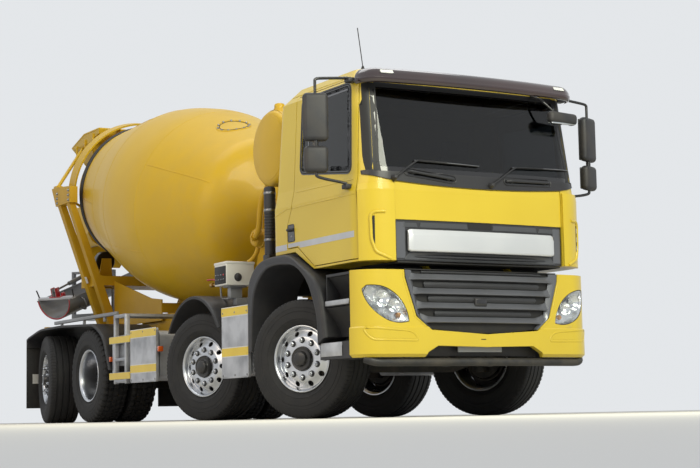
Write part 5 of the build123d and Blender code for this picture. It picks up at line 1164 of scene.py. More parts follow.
# Black border printed round the windscreen, the dark header over it, and a black panel that paints the shade
# in the gap below the cab.
screenNodes = "windscreen cab_shell"
for side in (-1, 1):
    outer = [(side * 1.09, 2.076), (side * 1.1, 2.2), (side * 1.072, 2.88)]
    inner = [(side * 0.985, 2.076), (side * 0.99, 2.2), (side * 0.94, 2.88)]
    sheet(f"screenSide{side}", screenNodes, "front", outer, inner, 0.0022, "screenBlack", "cab", 16, 8)
sheet("screenHeader", screenNodes, "front", [(-1.07, 2.846), (1.07, 2.846)], [(-1.04, 2.935), (1.04, 2.935)],
      0.0022, "screenBlack", "cab", 40, 3)
# Painted shade: a thin black panel in the gap below the cab.
blocks("underCabShade", [((0.5, -0.86, 1.305), (1.325, 0.86, 1.3205))], 0.003, 2, "blackRubber", "cab")

# Doors and cab sides: window surrounds, dividers, handles, locks, stripes, creases, roof gutters and an
# aerial.
doorSettings = {"window": [(0.128, 2.215), (0.128, 2.893), (1, 2.893), (1.048, 2.1)]}
for side, view in sides:
    label, body = view[0], view + "_door"
    door, pane = "door_" + label, "door_glass_" + label
    band("windowRim_" + label, door, view, doorSettings["window"], 0.03, 0.003, "glossBlack", body,
         cyclic=True, rounded=False, radius=0.07)
    band("windowSeal_" + label, door, view, doorSettings["window"], 0.012, 0.007, "blackRubber", body,
         cyclic=True, radius=0.07)
    inside = [(0.165, 2.245), (0.165, 2.858), (0.965, 2.858), (1.008, 2.135)]
    band("paneEdge_" + label, pane, view, inside, 0.055, 0.001, "glossBlack", body, cyclic=True,
         rounded=False, radius=0.05)
    band("paneDivider_" + label, pane, view, [(0.262, 2.236), (0.262, 2.56)], 0.018, 0.004, "bezelGrey",
         body, rounded=False)
    band("paneRail_" + label, pane, view, [(0.18, 2.845), (0.95, 2.845)], 0.016, 0.004, "bezelGrey", body,
         rounded=False)
    low, high = [(-0.058, 1.604), (0.07, 1.604)], [(-0.056, 1.758), (0.058, 1.758)]
    sheet("handleDish_" + label, door, view, low, high, 0.002, "glossBlack", body, 8, 6)
    band("handleLip_" + label, door, view, [low[0], low[1], high[1], high[0]], 0.01, 0.006, "mouldedBlack",
         body, cyclic=True, radius=0.018)
    handle = []
    for share, rise in ((0, 0.004), (0.12, 0.024), (0.5, 0.03), (0.88, 0.024), (1, 0.004)):
        place, normal = surfacePoint(door, view, (-0.048 + 0.104 * share, 1.712))
        handle.append(place + normal * rise)
    tube("handleGrab_" + label, handle, 0.013, "mouldedBlack", body, resolution=8)
    lock, normal = surfacePoint(door, view, (0.01, 1.65))
    turned("lockBarrel_" + label, [(0, 0.006), (0.009, 0.006), (0.012, 0.004), (0.014, 0), (0.014, -0.002)],
           24, "machinedSteel", frameMatrix(lock, normal), body)
    for part, nodes, owner, start, end, low, high in (
            ("Door", door, body, 0.16, 1.12, 1.534, 1.588), ("Edge", door, body, -0.058, 0.16, 1.553, 1.588),
            ("Rear", "cab_shell", "cab", -0.33, -0.074, 1.534, 1.588),
            ("Below", "cab_shell", "cab", -0.074, 0.1, 1.534, 1.543)):
        sheet(f"sideStripe{part}_{label}", nodes, view, [(start, low), (end, low)],
              [(start, high), (end, high)], 0.0012, "stripeSilver", owner, 24, 1)
    band("bodyCrease_" + label, door, view, [(0.036, 1.908), (1.14, 1.902)], 0.014, 0.004, "cabEnamel", body)
    band("rearCrease_" + label, "cab_shell", view, [(-0.335, 1.862), (-0.08, 1.91), (0.006, 1.912)], 0.014,
         0.004, "cabEnamel", "cab")
    band("doorSwage_" + label, door, view, [(0.07, 2.052), (1.1, 2.034)], 0.018, 0.0035, "cabEnamel", body)
for side, view in sides:
    gutter = [(-0.15, 2.965), (0.3, 2.972), (0.9, 2.966)]
    band(f"roofGutter{side}", "cab_shell", view, gutter, 0.016, 0.006, "cabEnamel", "cab")
turned("antennaFoot", [(0, 0.034), (0.008, 0.032), (0.013, 0.018), (0.02, 0.004), (0.02, -0.004)], 20,
       "blackRubber", moved(at(0.93, -0.93, 3.04)), "cab")
tube("antennaRod", [at(0.93, -0.93, 3.065), at(0.89, -0.93, 3.25), at(0.85, -0.93, 3.43)], 0.0042,
     "blackRubber", "cab")
print("cab sides made")

# Steps: brushed treads with raised studs, in dark moulded housings.
stepTreads = [(0.712, 1.112, 0.966, 1.008), (0.62, 0.985, 0.53, 0.648)]  # back, front, bottom, top
for side in (-1, 1):
    for number, (back, front, low, high) in enumerate(stepTreads):
        inner, outer = side * 0.93, side * 1.226
        items = [((back, inner, high - 0.03), (front, outer, high)),
                 ((back, outer - 0.002, low), (front, outer + 0.002, high))]
        blocks(f"stepTread{side}{number}", items, 0.004, 2, "brushedTread")
        for k in range(7):
            x = back + (front - back) * (k + 0.5) / 7
            turned(f"treadStud{side}{number}{k}", [(0, 0.004), (0.01, 0.0035), (0.014, 0), (0.014, -0.003)],
                   16, "machinedSteel", moved(at(x, side * 1.08, high)))
print("steps made")

# Side panels with their stripes and screws, guard bars, treadplate boxes and marker lamps.
panelSettings = {
    "panels": [(-1.338, -0.766, 0.4, 1.056, (0.99, 0.602)), (-3.63, -2.93, 0.42, 0.99, (0.898, 0.52))],
    "stripeHeight": 0.094, "bars": [(0.865, 0.945), (0.465, 0.545)],
}
for side, view in sides:
    y = side * 1.235
    rise = side * 0.0016
    for number, (back, front, low, high, stripes) in enumerate(panelSettings["panels"]):
        frameItems = [((back + 0.004, y - rise, low + 0.012), (front - 0.004, y + rise * 0.6, high - 0.012))]
        blocks(f"panelFace{side}{number}", frameItems, 0.0006, 1, "brushedPanel")
        white, yellow = [], []
        for base in stripes:
            top = base + panelSettings["stripeHeight"]
            white.append(((back + 0.002, y, base), (front - 0.002, y + rise * 1.1, top)))
            yellow.append(((back + 0.001, y, base + 0.008), (front - 0.001, y + rise * 1.6, top - 0.008)))
        blocks(f"panelWhite{side}{number}", white, 0.0003, 1, "plateWhite")
        blocks(f"panelYellow{side}{number}", yellow, 0.0003, 1, "stripeYellow")
        for x in (back + 0.03, (back + front) / 2, front - 0.03):
            for z in (low + 0.028, high - 0.028):
                turned(f"panelScrew{side}{number}{x:.2f}{z:.2f}",
                       [(0, 0.006), (0.006, 0.0058), (0.01, 0.004), (0.012, 0), (0.012, -0.003)], 18,
                       "machinedSteel", frameMatrix(at(x, y, z), (0, side, 0)))
        lip = [(back + 0.012, low + 0.012), (back + 0.012, high - 0.012), (front - 0.012, high - 0.012),
               (front - 0.012, low + 0.012)]
        band(f"panelLip{side}{number}", "side_guards", view, lip, 0.01, 0.003, "brushedPanel", cyclic=True,
             radius=0.02)
    bars = [((-4.218, y, low + 0.004), (-3.634, y + side * 0.003, high - 0.004))
            for low, high in panelSettings["bars"]]
    blocks(f"guardBarFace{side}", bars, 0.001, 1, "stripeYellow")
    for x, z in ((-0.742, 0.76), (-2.88, 0.76), (-4.235, 0.7)):
        blocks(f"sideMarker{side}{x:.2f}", [((x - 0.018, side * 1.18, z - 0.028),
                                             (x + 0.018, side * 1.236, z + 0.028))], 0.006, 2, "orangeLens")
plates = [((-4.1, -1.19, 0.9), (-3.64, -0.7, 0.96)), ((-4.09, -1.188, 0.62), (-3.65, -0.72, 0.9))]
blocks("treadBoxes", plates, 0.006, 2, "treadPlate")
print("side panels made")

# Mixer drum: spun sections welded end to end, with rounded knuckles, weld seams, spiral blades and a hatch.
drumSettings = {
    "origin": (-2.633, 0, 2.182), "tilt": 11, "wall": 0.012, "seam": 0.0035, "bladeHeight": 0.3,
    "outline": [(-0.335, 0.18), (-0.255, 0.182), (-0.249, 0.24), (-0.23, 0.33), (-0.1836, 0.4235),
                (-0.135, 0.56), (-0.075, 0.7), (0, 0.847), (1.223, 1.1405), (2.03, 1.1435), (3.44, 0.86),
                (3.502, 0.856), (3.56, 0.832), (4.19, 0.618), (4.23, 0.61)],
    "rounding": {7: 0.16, 8: 0.26, 9: 0.3, 12: 0.05},
    "seams": [1.16, 2.1, 2.78, 3.38],
}
drumTilt = radians(drumSettings["tilt"])
drumAxis = Vector((-cos(drumTilt), 0, sin(drumTilt)))
drumUp = Vector((sin(drumTilt), 0, cos(drumTilt)))
drumOrigin = at(*drumSettings["origin"])
drumFrame = Matrix(((drumUp.x, 0, drumAxis.x, drumOrigin.x), (0, 1, 0, drumOrigin.y),
                    (drumUp.z, 0, drumAxis.z, drumOrigin.z), (0, 0, 0, 1)))


def roundedLine(points, rounding, parts=9):
    # The corners named in rounding become curves that start that far before and after them.
    made = []
    for index, point in enumerate(points):
        if index not in rounding:
            made.append(point)
            continue
        corner = Vector(point)
        start = corner + (Vector(points[index - 1]) - corner).normalized() * rounding[index]
        end = corner + (Vector(points[index + 1]) - corner).normalized() * rounding[index]
        for k in range(parts + 1):
            share = k / parts
            spot = start * (1 - share) ** 2 + corner * (2 * share * (1 - share)) + end * share ** 2
            made.append((spot.x, spot.y))
    return made


drumLine = roundedLine(drumSettings["outline"], drumSettings["rounding"])


def drumRadius(along):
    for (s0, r0), (s1, r1) in zip(drumLine, drumLine[1:]):
        if s0 <= along <= s1:
            return r0 + (r1 - r0) * (along - s0) / (s1 - s0)
    return drumLine[-1][1]


def drumPoint(along, angle, lift=0):
    # Angle 0 is the drum's upper side; it grows towards the truck's left.
    radius = drumRadius(along) + lift
    return drumFrame @ Vector((radius * cos(angle), radius * sin(angle), along))


wall = drumSettings["wall"]
shell = [(r, s) for s, r in drumLine]
shell += [(r - wall, s) for s, r in reversed([item for item in drumLine if item[0] > 0.02])] + [(0, -0.235)]
turned("drumShell", [(0, -0.335)] + shell, 144, "drumEnamel", drumFrame, "drum", edgeAngle=32,
       replaces=("mixer_drum",))
turned("mouthRoll", [(0.604 + 0.013 * cos(2 * pi * k / 12), 4.222 + 0.013 * sin(2 * pi * k / 12))
                     for k in range(12)], 96, "drumEnamel", drumFrame, "drum", closed=True)
for number, along in enumerate(drumSettings["seams"]):
    rise = drumSettings["seam"]
    radius = drumRadius(along)
    slope = (drumRadius(along + 0.02) - drumRadius(along - 0.02)) / 0.04
    profile = []
    for k in range(9):
        turn = pi * k / 8
        profile.append(
            (radius + rise * sin(turn) - 0.001 + slope * 0.008 * cos(turn), along + 0.008 * cos(turn)))
    turned(f"drumSeam{number}", profile, 144, "drumEnamel", drumFrame, "drum", closed=True)
for number, (start, end, angle) in enumerate(((0.02, 1.14, -66), (1.18, 2.08, -118), (2.12, 2.76, -30),
                                              (2.8, 3.36, -96), (1.18, 2.08, 62), (0.02, 1.14, 114))):
    path = [drumPoint(start + (end - start) * k / 24, radians(angle), 0.0003) for k in range(25)]
    tube(f"plateSeam{number}", path, 0.0045, "drumEnamel", "drum", smooth=False)
hatch = [drumPoint(0.6 + 0.17 * cos(2 * pi * k / 40), radians(-14) + 0.2 * sin(2 * pi * k / 40), 0.001)
         for k in range(40)]
tube("hatchRim", hatch, 0.007, "drumEnamel", "drum", smooth=False, cyclic=True)
hatchInner = [drumPoint(0.6 + 0.14 * cos(2 * pi * k / 40), radians(-14) + 0.165 * sin(2 * pi * k / 40),
                        0.0005) for k in range(40)]
tube("hatchSeal", hatchInner, 0.004, "blackRubber", "drum", smooth=False, cyclic=True)
for k in range(12):
    turn = 2 * pi * (k + 0.5) / 12
    place = drumPoint(0.6 + 0.155 * cos(turn), radians(-14) + 0.183 * sin(turn), 0)
    normal = (place - drumPoint(0.6, radians(-14), -0.9)).normalized()
    turned(f"hatchBolt{k}", [(0, 0.016), (0.009, 0.016), (0.011, 0.012), (0.012, 0), (0.012, -0.004)], 12,
           "machinedSteel", frameMatrix(place, normal), "drum")
for number in range(2):
    # A blade winds one and a half turns down from the mouth, leaning back as it goes.
    steps = 90
    outerEdge, innerEdge = [], []
    for k in range(steps + 1):
        share = k / steps
        along = 4.16 - 2.3 * share
        angle = pi * number + 2 * pi * 1.5 * share
        height = drumSettings["bladeHeight"] * min(1, 0.35 + share * 3)
        outer = drumFrame @ Vector(((drumRadius(along) - wall - 0.001) * cos(angle),
                                    (drumRadius(along) - wall - 0.001) * sin(angle), along))
        radius = drumRadius(along) - wall - height
        innerEdge.append(drumFrame @ Vector((radius * cos(angle), radius * sin(angle), along - 0.08)))
        outerEdge.append(outer)
    top = outerEdge + innerEdge
    back = [point + drumAxis * 0.008 for point in top]
    closedSheet(f"mixingBlade{number}", top, back, steps, 1, "machinedSteel", "drum")
print("drum made")

# Water tank: a barrel with dished ends, a filler and bands.
tankSettings = {"centre": (-0.8, 0, 2.6), "radius": 0.37, "half": 1, "dish": 0.06}
tankProfile = [(0, 0)]
for k in range(1, 13):
    radius = (tankSettings["radius"] - 0.055) * k / 12
    tankProfile.append((radius, -tankSettings["dish"] * 0.55 * (radius / tankSettings["radius"]) ** 2))
for k in range(7):
    turn = pi / 2 * k / 6
    tankProfile.append((tankSettings["radius"] - 0.055 + 0.055 * sin(turn), -0.082 + 0.055 * cos(turn)))
half = tankSettings["half"]
rightHalf = [(r, half + z) for r, z in tankProfile]
leftHalf = [(r, -half - z) for r, z in reversed(tankProfile)]
tankMesh = lathe("tankShell", rightHalf + leftHalf, 96, edgeAngle=40)
tankPlace = at(*tankSettings["centre"])
makeObject("tankShell", tankMesh, "drumEnamel", "truck", frameMatrix(tankPlace, (0, -1, 0)), ("water_tank",))
for level in (-0.72, 0.72):
    strap = [(tankSettings["radius"] + 0.004, level - 0.028), (tankSettings["radius"] + 0.004, level + 0.028),
             (tankSettings["radius"] - 0.001, level + 0.03), (tankSettings["radius"] - 0.001, level - 0.03)]
    turned(f"tankStrap{level}", strap, 96, "drumEnamel", frameMatrix(tankPlace, (0, -1, 0)), closed=True)
for y in (-0.93, 0.93):
    seam = [
        (tankSettings["radius"] + 0.0025 * sin(pi * k / 6), y + 0.006 * cos(pi * k / 6)) for k in range(7)]
    turned(f"tankSeam{y}", seam, 96, "drumEnamel", frameMatrix(tankPlace, (0, -1, 0)), closed=True)
turned("tankFiller", [(0, 0.074), (0.03, 0.073), (0.046, 0.066), (0.052, 0.052), (0.052, 0.022),
                      (0.06, 0.018), (0.06, 0), (0.06, -0.02)], 40, "drumEnamel",
       moved(at(-0.775, -0.86, 2.968)))
posts = []
for y in (-0.55, 0.55):
    posts += [((-0.86, y - 0.05, 1.165), (-0.74, y + 0.05, 2.235)),
              ((-0.93, y - 0.06, 2.215), (-0.67, y + 0.06, 2.25))]
posts += [((-0.85, -0.55, 1.17), (-0.75, 0.55, 1.262)), ((-0.836, -0.5, 1.7), (-0.764, 0.5, 1.76))]
blocks("tankPosts", posts, 0.008, 3, "chassisEnamel")
print("tank made")

# Air intake: a ribbed black stack with silver clamps, a rounded cap on top and a black base below.
stack = [(0, 2.215), (0.04, 2.213), (0.052, 2.204), (0.056, 2.19), (0.056, 1.96)]
for k in range(9):
    stack += [(0.056, 1.95 - 0.028 * k), (0.05, 1.94 - 0.028 * k), (0.056, 1.93 - 0.028 * k)]
stack += [(0.054, 1.69), (0.054, 1.56), (0, 1.56)]
turned("intakeStack", stack, 48, "mouldedBlack", moved(at(-0.74, -1, 0)), replaces=("air_intake",))
for z in (1.985, 1.7, 2.15):
    clamp = [(0.0585, z - 0.012), (0.06, z - 0.008), (0.06, z + 0.008), (0.0585, z + 0.012),
             (0.055, z + 0.012), (0.055, z - 0.012)]
    turned(f"intakeClamp{z}", clamp, 48, "machinedSteel", moved(at(-0.74, -1, 0)), closed=True)
intakeBase = [((-0.8, -1.055, 1.42), (-0.68, -0.945, 1.565)), ((-0.81, -0.99, 1.17), (-0.67, -0.335, 1.44)),
              ((-0.8, -1.055, 1.18), (-0.68, -0.98, 1.43))]
blocks("intakeBase", intakeBase, 0.02, 4, "mouldedBlack")

# Control box: a cream steel case and lid with a black switch panel and knobs, on a grey arm, by a brass water
# line.
caseItems = [
    ((-1.672, -1.146, 1.322), (-1.4, -0.842, 1.54)), ((-1.68, -1.15, 1.53), (-1.392, -0.836, 1.556))]
blocks("controlCase", caseItems, 0.006, 3, "plateWhite", replaces=("control_box",))
panelBoxes = [((-1.656, -1.153, 1.338), (-1.414, -1.144, 1.512))]
turned("sideKnob", [(0, 0.034), (0.022, 0.033), (0.03, 0.026), (0.032, 0.004), (0.042, 0), (0.042, -0.004)],
       28, "mouldedBlack", frameMatrix(at(-1.4, -1.02, 1.4), (1, 0, 0)))
blocks("controlPanel", panelBoxes, 0.003, 2, "screenBlack")
for row in range(2):
    for column in range(4):
        x, z = -1.62 + 0.056 * column, 1.38 + 0.045 * row
        knob = lathe("controlKnob", [(0, 0.01), (0.005, 0.0095), (0.007, 0.007), (0.008, 0.002),
                                     (0.01, 0.001), (0.01, -0.002)], 16)
        finish = "redEnamel" if (row, column) == (1, 3) else "bezelGrey"
        makeObject(
            f"controlKnob{row}{column}", knob, finish, "truck", frameMatrix(at(x, -1.153, z), (0, -1, 0)))
armItems = [((-1.56, -1.06, 1.2), (-1.49, -0.93, 1.325)), ((-1.56, -1, 1.13), (-1.49, -0.402, 1.205)),
            ((-1.6, -1.09, 1.305), (-1.45, -0.9, 1.322))]
blocks("controlArm", armItems, 0.006, 3, "greyEnamel")
brass = [at(-1.674, -1.02, 1.37), at(-1.8, -1.02, 1.37), at(-2.02, -1.02, 1.36)]
tube("waterLine", brass, 0.013, "brassFitting", smooth=False)
fittings = ((-1.7, 0.022, 0.034), (-1.8, 0.026, 0.07), (-1.89, 0.02, 0.03), (-1.99, 0.024, 0.05))
for x, radius, length in fittings:
    turned(f"lineFitting{x}", [(0, length / 2), (radius, length / 2), (radius, -length / 2),
                               (0, -length / 2)], 6, "brassFitting",
           frameMatrix(at(x, -1.02, 1.366), (1, 0, 0)))
tube("valveHandle", [at(-1.9, -1.02, 1.392), at(-1.905, -1.024, 1.412), at(-1.95, -1.05, 1.418),
                     at(-2.02, -1.06, 1.418)], 0.009, "redEnamel")
tube("waterLineBracket", [at(-1.56, -1, 1.2), at(-1.78, -1.02, 1.21), at(-1.8, -1.02, 1.366)], 0.01,
     "greyEnamel", smooth=False)

# Pump and valve block before the drum: a bell housing with elbow pipes and flanges.
turned("pumpBell", [(0, 0.085), (0.03, 0.085), (0.036, 0.075), (0.07, 0.07), (0.085, 0.055), (0.088, 0),
                    (0.098, -0.004), (0.1, -0.03), (0.09, -0.036), (0.08, -0.12), (0, -0.12)], 48,
       "chassisEnamel", frameMatrix(at(-1.43, -0.76, 1.8), (0, -1, 0)))
elbows = [
    ("pumpPipeA", [(-1.43, -0.72, 1.88), (-1.43, -0.72, 2.02), (-1.36, -0.72, 2.08), (-1.16, -0.72, 2.08)],
     0.036, "chassisEnamel"),
    ("pumpPipeB", [(-1.43, -0.83, 1.8), (-1.3, -0.87, 1.8), (-1.2, -0.88, 1.86), (-1.18, -0.88, 2.06),
                   (-1.14, -0.86, 2.2), (-1.08, -0.8, 2.34)], 0.03, "chassisEnamel"),
    ("pumpPipeC", [(-1.5, -0.74, 1.72), (-1.52, -0.76, 1.6), (-1.54, -0.84, 1.56)], 0.024, "chassisEnamel"),
    ("pumpFoot", [(-1.43, -0.7, 1.7), (-1.43, -0.66, 1.45), (-1.43, -0.56, 1.22)], 0.03, "chassisEnamel"),
]
for name, points, radius, finish in elbows:
    tube(name, [at(*point) for point in points], radius, finish, resolution=10)
for name, place, axis, radius in (("flangeA", (-1.43, -0.72, 1.93), (0, 0, 1), 0.056),
                                  ("flangeB", (-1.2, -0.72, 2.08), (1, 0, 0), 0.056),
                                  ("flangeC", (-1.185, -0.88, 1.99), (0, 0, 1), 0.048),
                                  ("flangeD", (-1.35, -0.855, 1.8), (1, 0, 0), 0.048)):
    finish = "brassFitting" if name == "flangeC" else "chassisEnamel"
    turned(name, [(0, 0.012), (radius, 0.012), (radius, -0.012), (0, -0.012)], 8, finish,
           frameMatrix(at(*place), axis))
print("water gear made")

# Mudguards: smooth moulded arches with rolled lips, rings over the second axle and long guards at the rear.
archSettings = {
    "frontOuter": [(-0.76, 0.632), (-0.76, 1.29), (-0.59, 1.45), (-0.35, 1.49), (0.055, 1.49), (0.4, 1.308),
                   (0.58, 1.19), (0.68, 0.98), (0.719, 0.7)],
    "frontInner": [(-0.671, 0.632), (-0.662, 0.9), (-0.62, 1.2), (-0.39, 1.385), (-0.13, 1.404), (0.2, 1.372),
                   (0.425, 1.216), (0.586, 0.889), (0.592, 0.64)],
    "rearOuter": [(-4.213, 0.58), (-4.395, 0.98), (-4.696, 1.13), (-5.806, 1.172), (-6.487, 1.166),
                  (-6.983, 1.072), (-6.983, 0.95)],
    "rearInner": [(-4.243, 0.58), (-4.422, 0.956), (-4.708, 1.098), (-5.806, 1.14), (-6.487, 1.134),
                  (-6.965, 1.045), (-6.965, 0.95)],
    "kingpinY": 0.86, "swing": 0.665, "sweptTop": 0.85, "sweptTaper": 1,
}


def clearOfWheel(point, side):
    # Moves a point along the truck, out of the space that a first-axle wheel sweeps as it steers.
    reach = archSettings["swing"]
    if point.z > archSettings["sweptTop"]:
        reach -= (point.z - archSettings["sweptTop"]) / archSettings["sweptTaper"]
    aside = point.y - side * archSettings["kingpinY"]
    along = point.x - frontX
    if abs(aside) < reach and abs(along) < sqrt(reach * reach - aside * aside):
        along = copysign(sqrt(reach * reach - aside * aside), along)
    return Vector((frontX + along, point.y, point.z))


def archBand(name, outer, inner, side, near, far, softness, finish, replaces=(), swept=False):
    # A band between two paths, with a rolled outer edge and a bead round the opening.
    count = 64
    outerPath, innerPath = (softened(path, softness, False, 8) for path in (outer, inner))
    section = [(0, near), (0, far - 0.045), (0.04, far - 0.02), (0.14, far - 0.005), (0.28, far),
               (0.74, far - 0.004), (0.78, far - 0.001), (0.9, far - 0.001), (0.97, far - 0.006),
               (1, far - 0.018), (1, near)]
    rings = []
    for k in range(count + 1):
        out, into = pointAlong(outerPath, k / count), pointAlong(innerPath, k / count)
        ring = []
        for share, y in section:
            spot = out.lerp(into, share)
            place = at(spot.x, side * y, spot.y)
            ring.append(clearOfWheel(place, side) if swept and spot.y < 1.1 else place)
        rings.append(ring)
    return makeObject(name, ringMesh(name, rings, 38, closed=True), finish, "truck", replaces=replaces)


ringX = axleX["2"] - frontX - 0.01
ringOuter = [
    (ringX + 0.702 * cos(radians(turn)), 0.55 + 0.702 * sin(radians(turn))) for turn in range(150, 28, -4)]
ringInner = [
    (ringX + 0.665 * cos(radians(turn)), 0.55 + 0.665 * sin(radians(turn))) for turn in range(148, 30, -4)]
for side in (-1, 1):
    archBand(f"frontArch{side}", archSettings["frontOuter"], archSettings["frontInner"], side, 0.78, 1.25,
             0.16, "mouldedBlack", ("mudguards",) if side < 0 else (), True)
    archBand(f"ringArch{side}", ringOuter, ringInner, side, 0.8, 1.25, 0, "mouldedBlack")
    archBand(f"rearGuard{side}", archSettings["rearOuter"], archSettings["rearInner"], side, 0.55, 1.25,
             0.12, "mouldedBlack")
    low, high = side * 0.43, side * 0.79
    stays = [((-0.755, low, 0.93), (-0.712, high, 0.985)),
             ((ringX - 0.02, low, 1.222), (ringX + 0.02, high, 1.246))]
    low, high = side * 0.43, side * 0.6
    stays += [((-4.44, low, 0.9), (-4.4, high, 0.956)), ((-5.65, low, 0.96), (-5.61, high, 1.148)),
              ((-6.95, low, 0.98), (-6.91, high, 1.058))]
    blocks(f"guardStays{side}", stays, 0.006, 2, "frameBlack")
    low, high = side * 0.556, side * 1.244
    flap = [((-6.999, low, 0.19), (-6.988, high, 1.05)), ((-6.998, low, 1), (-6.966, high, 1.062))]
    blocks(f"rearFlap{side}", flap, 0.003, 2, "blackRubber")
    low, high = side * 1.085, side * 1.165
    blocks(f"flapPlate{side}", [((-6.9885, low, 0.5), (-6.984, high, 0.62))], 0.001, 1, "plateWhite")
    # A ribbed black liner inside each front arch: the wheel well's lining, its black also painted shade
    # inside the arch.
    low, high = sorted((side * 0.44, side * 0.462))
    liner = [((-0.64, low, 0.64), (0.56, high, 1.285))]
    liner += [
        ((-0.56 + 0.22 * k, low - 0.006, 0.68), (-0.52 + 0.22 * k, high + 0.006, 1.25)) for k in range(5)]
    blocks(f"archLinerAndShade{side}", liner, 0.005, 2, "blackRubber")
    rows, columns = 8, 10
    wells = ((0.738, 1.116, 1.013, 1.214), (0.69, 1.116, 0.7, 0.955))
    for number, (back, front, bottom, ceiling) in enumerate(wells):
        top, behind = [], []
        for row in range(rows + 1):
            share = row / rows
            for column in range(columns + 1):
                x = back + (front - back) * column / columns
                dish = 0.03 * sin(pi * column / columns)
                top.append(
                    at(x, side * (1.075 + 0.13 * share ** 1.6 - dish), bottom + (ceiling - bottom) * share))
                behind.append(at(x, side * 1.034, bottom + (ceiling - bottom) * share))
        closedSheet(f"stepWell{side}{number}", top, behind, columns, rows, "mouldedBlack")
print("mudguards made")

# Rear end: the rail for loose chutes, a blank plate on the leg and the ladder's bright faces.
rail = [((-6.3, -1.132, 1.205), (-4.3, -1.092, 1.245))]
rail += [((x, -1.124, 1.15), (x + 0.05, -1.1, 1.206)) for x in (-6.1, -5.35, -4.7)]
blocks("chuteRail", rail, 0.006, 3, "greyEnamel")
legLean = Matrix.Rotation(radians(20), 4, "X")
blocks("legPlate", [((-0.052, -0.004, -0.042), (0.052, 0.004, 0.042))], 0.001, 1, "plateWhite", "truck",
       moved(at(-6.252, -0.734, 1.765)) @ legLean)
rungs = []
for level in (0.43, 0.67, 0.91, 1.15):
    rungs.append(((-4.06, -1.241, level + 0.004), (-3.782, -1.15, level + 0.034)))
blocks("ladderRungs", rungs, 0.004, 2, "treadPlate")
uprights = [((x - 0.019, -1.2405, 0.424), (x + 0.019, -1.188, 1.182)) for x in (-4.077, -3.765)]
blocks("ladderUprights", uprights, 0.005, 3, "brushedPanel")
barFaces = [
    ((-4.222, -1.2425, low + 0.004), (-3.634, -1.239, high - 0.004)) for low, high in panelSettings["bars"]]
blocks("ladderStripes", barFaces, 0.001, 1, "stripeYellow")
print("rear end made")

# Rear gear: bolts and a fitting on the corner boxes, and the hopper's rim and ribs.
for side, view in sides:
    fitting = [((-6.075, side * 1.005, 2.735), (-6, side * 1.06, 2.815)),
               ((-6.085, side * 0.985, 2.7), (-6.01, side * 1.02, 2.74))]
    blocks(f"boxFitting{side}", fitting, 0.008, 3, "hubBlack")
    for row in range(3):
        for column in range(2):
            place, normal = surfacePoint("rear_pedestal", view, (-6.33 + 0.39 * column, 2.725 + 0.06 * row))
            turned(f"boxBolt{side}{row}{column}", [(0, 0.016), (0.01, 0.016), (0.013, 0.012), (0.013, 0.002),
                                                   (0.022, 0.002), (0.022, -0.003)], 6, "machinedSteel",
                   frameMatrix(place, normal))
rimPath = [at(-7.395, -0.474, 3.622), at(-6.96, -0.474, 3.737), at(-6.45, -0.474, 3.737),
           at(-6.45, 0.474, 3.737), at(-6.96, 0.474, 3.737), at(-7.395, 0.474, 3.622)]
tube("hopperRim", rimPath, 0.014, "drumEnamel", smooth=False, resolution=8, cyclic=True)
for side in (-1, 1):
    for x, z in ((-7.2, 3.56), (-6.9, 3.6), (-6.62, 3.64)):
        blocks(f"hopperRib{side}{x}", [((x - 0.006, side * 0.478, z - 0.14),
                                        (x + 0.006, side * 0.5, z + 0.06))], 0.002, 1, "drumEnamel")

# Chute: rolled rims, a red lip and bracket, a bright cross bar, carrying loops and two clamp levers.
chuteSettings = {
    "post": (-7.29, 0, 1.92), "slew": 122, "slope": 18, "headBack": 0.19, "length": 1.19, "radius": 0.25}
slew, slope = radians(chuteSettings["slew"]), radians(chuteSettings["slope"])
chuteAhead = Vector((-cos(slew), -sin(slew), 0))
chuteSide = Vector((chuteAhead.y, -chuteAhead.x, 0))
chuteDown = chuteAhead * cos(slope) - Vector((0, 0, sin(slope)))
chuteUp = Vector((0, 0, cos(slope))) + chuteAhead * sin(slope)
chuteHead = at(*chuteSettings["post"]) - chuteAhead * chuteSettings["headBack"]
chuteHead += Vector((0, 0, chuteSettings["headBack"] * tan(slope)))
chuteReach = (chuteSettings["length"] + chuteSettings["headBack"]) / cos(slope)
chuteEnd = chuteHead + chuteDown * chuteReach


def chutePoint(back, aside, up):
    return chuteEnd - chuteDown * back + chuteSide * aside + chuteUp * up


radius = chuteSettings["radius"]
lipRadius = radius - 0.008
lipPath = [chutePoint(0.004, lipRadius * cos(pi * k / 24), -lipRadius * sin(pi * k / 24)) for k in range(25)]
tube("chuteLip", lipPath, 0.0085, "redEnamel", "trough", smooth=False, resolution=8)
for side in (-1, 1):
    tube(f"chuteRim{side}", [chutePoint(0, side * radius, 0), chutePoint(chuteReach, side * radius, 0)],
         0.011, "greyEnamel", "trough", smooth=False)
    for number, back in enumerate((0.24, 0.46)):
        loop = [chutePoint(back, side * 0.246, -0.03), chutePoint(back, side * 0.3, -0.04),
                chutePoint(back, side * 0.306, -0.16), chutePoint(back + 0.02, side * 0.262, -0.205),
                chutePoint(back + 0.02, side * 0.195, -0.155)]
        tube(f"chuteLoop{side}{number}", loop, 0.01, "machinedSteel", "trough")
    lever = [chutePoint(0.07, side * 0.266, 0.02), chutePoint(0.07, side * 0.274, 0.07),
             chutePoint(0.055, side * 0.28, 0.13)]
    tube(f"clampLever{side}", lever, 0.009, "hubBlack", "trough")
chuteMatrix = Matrix(((chuteDown.x, chuteSide.x, chuteUp.x, chuteEnd.x),
                      (chuteDown.y, chuteSide.y, chuteUp.y, chuteEnd.y),
                      (chuteDown.z, chuteSide.z, chuteUp.z, chuteEnd.z), (0, 0, 0, 1)))
blocks("chuteCrossBar", [((-0.102, -0.272, -0.001), (-0.038, 0.272, 0.032))], 0.004, 2, "stripeSilver",
       "trough", chuteMatrix)
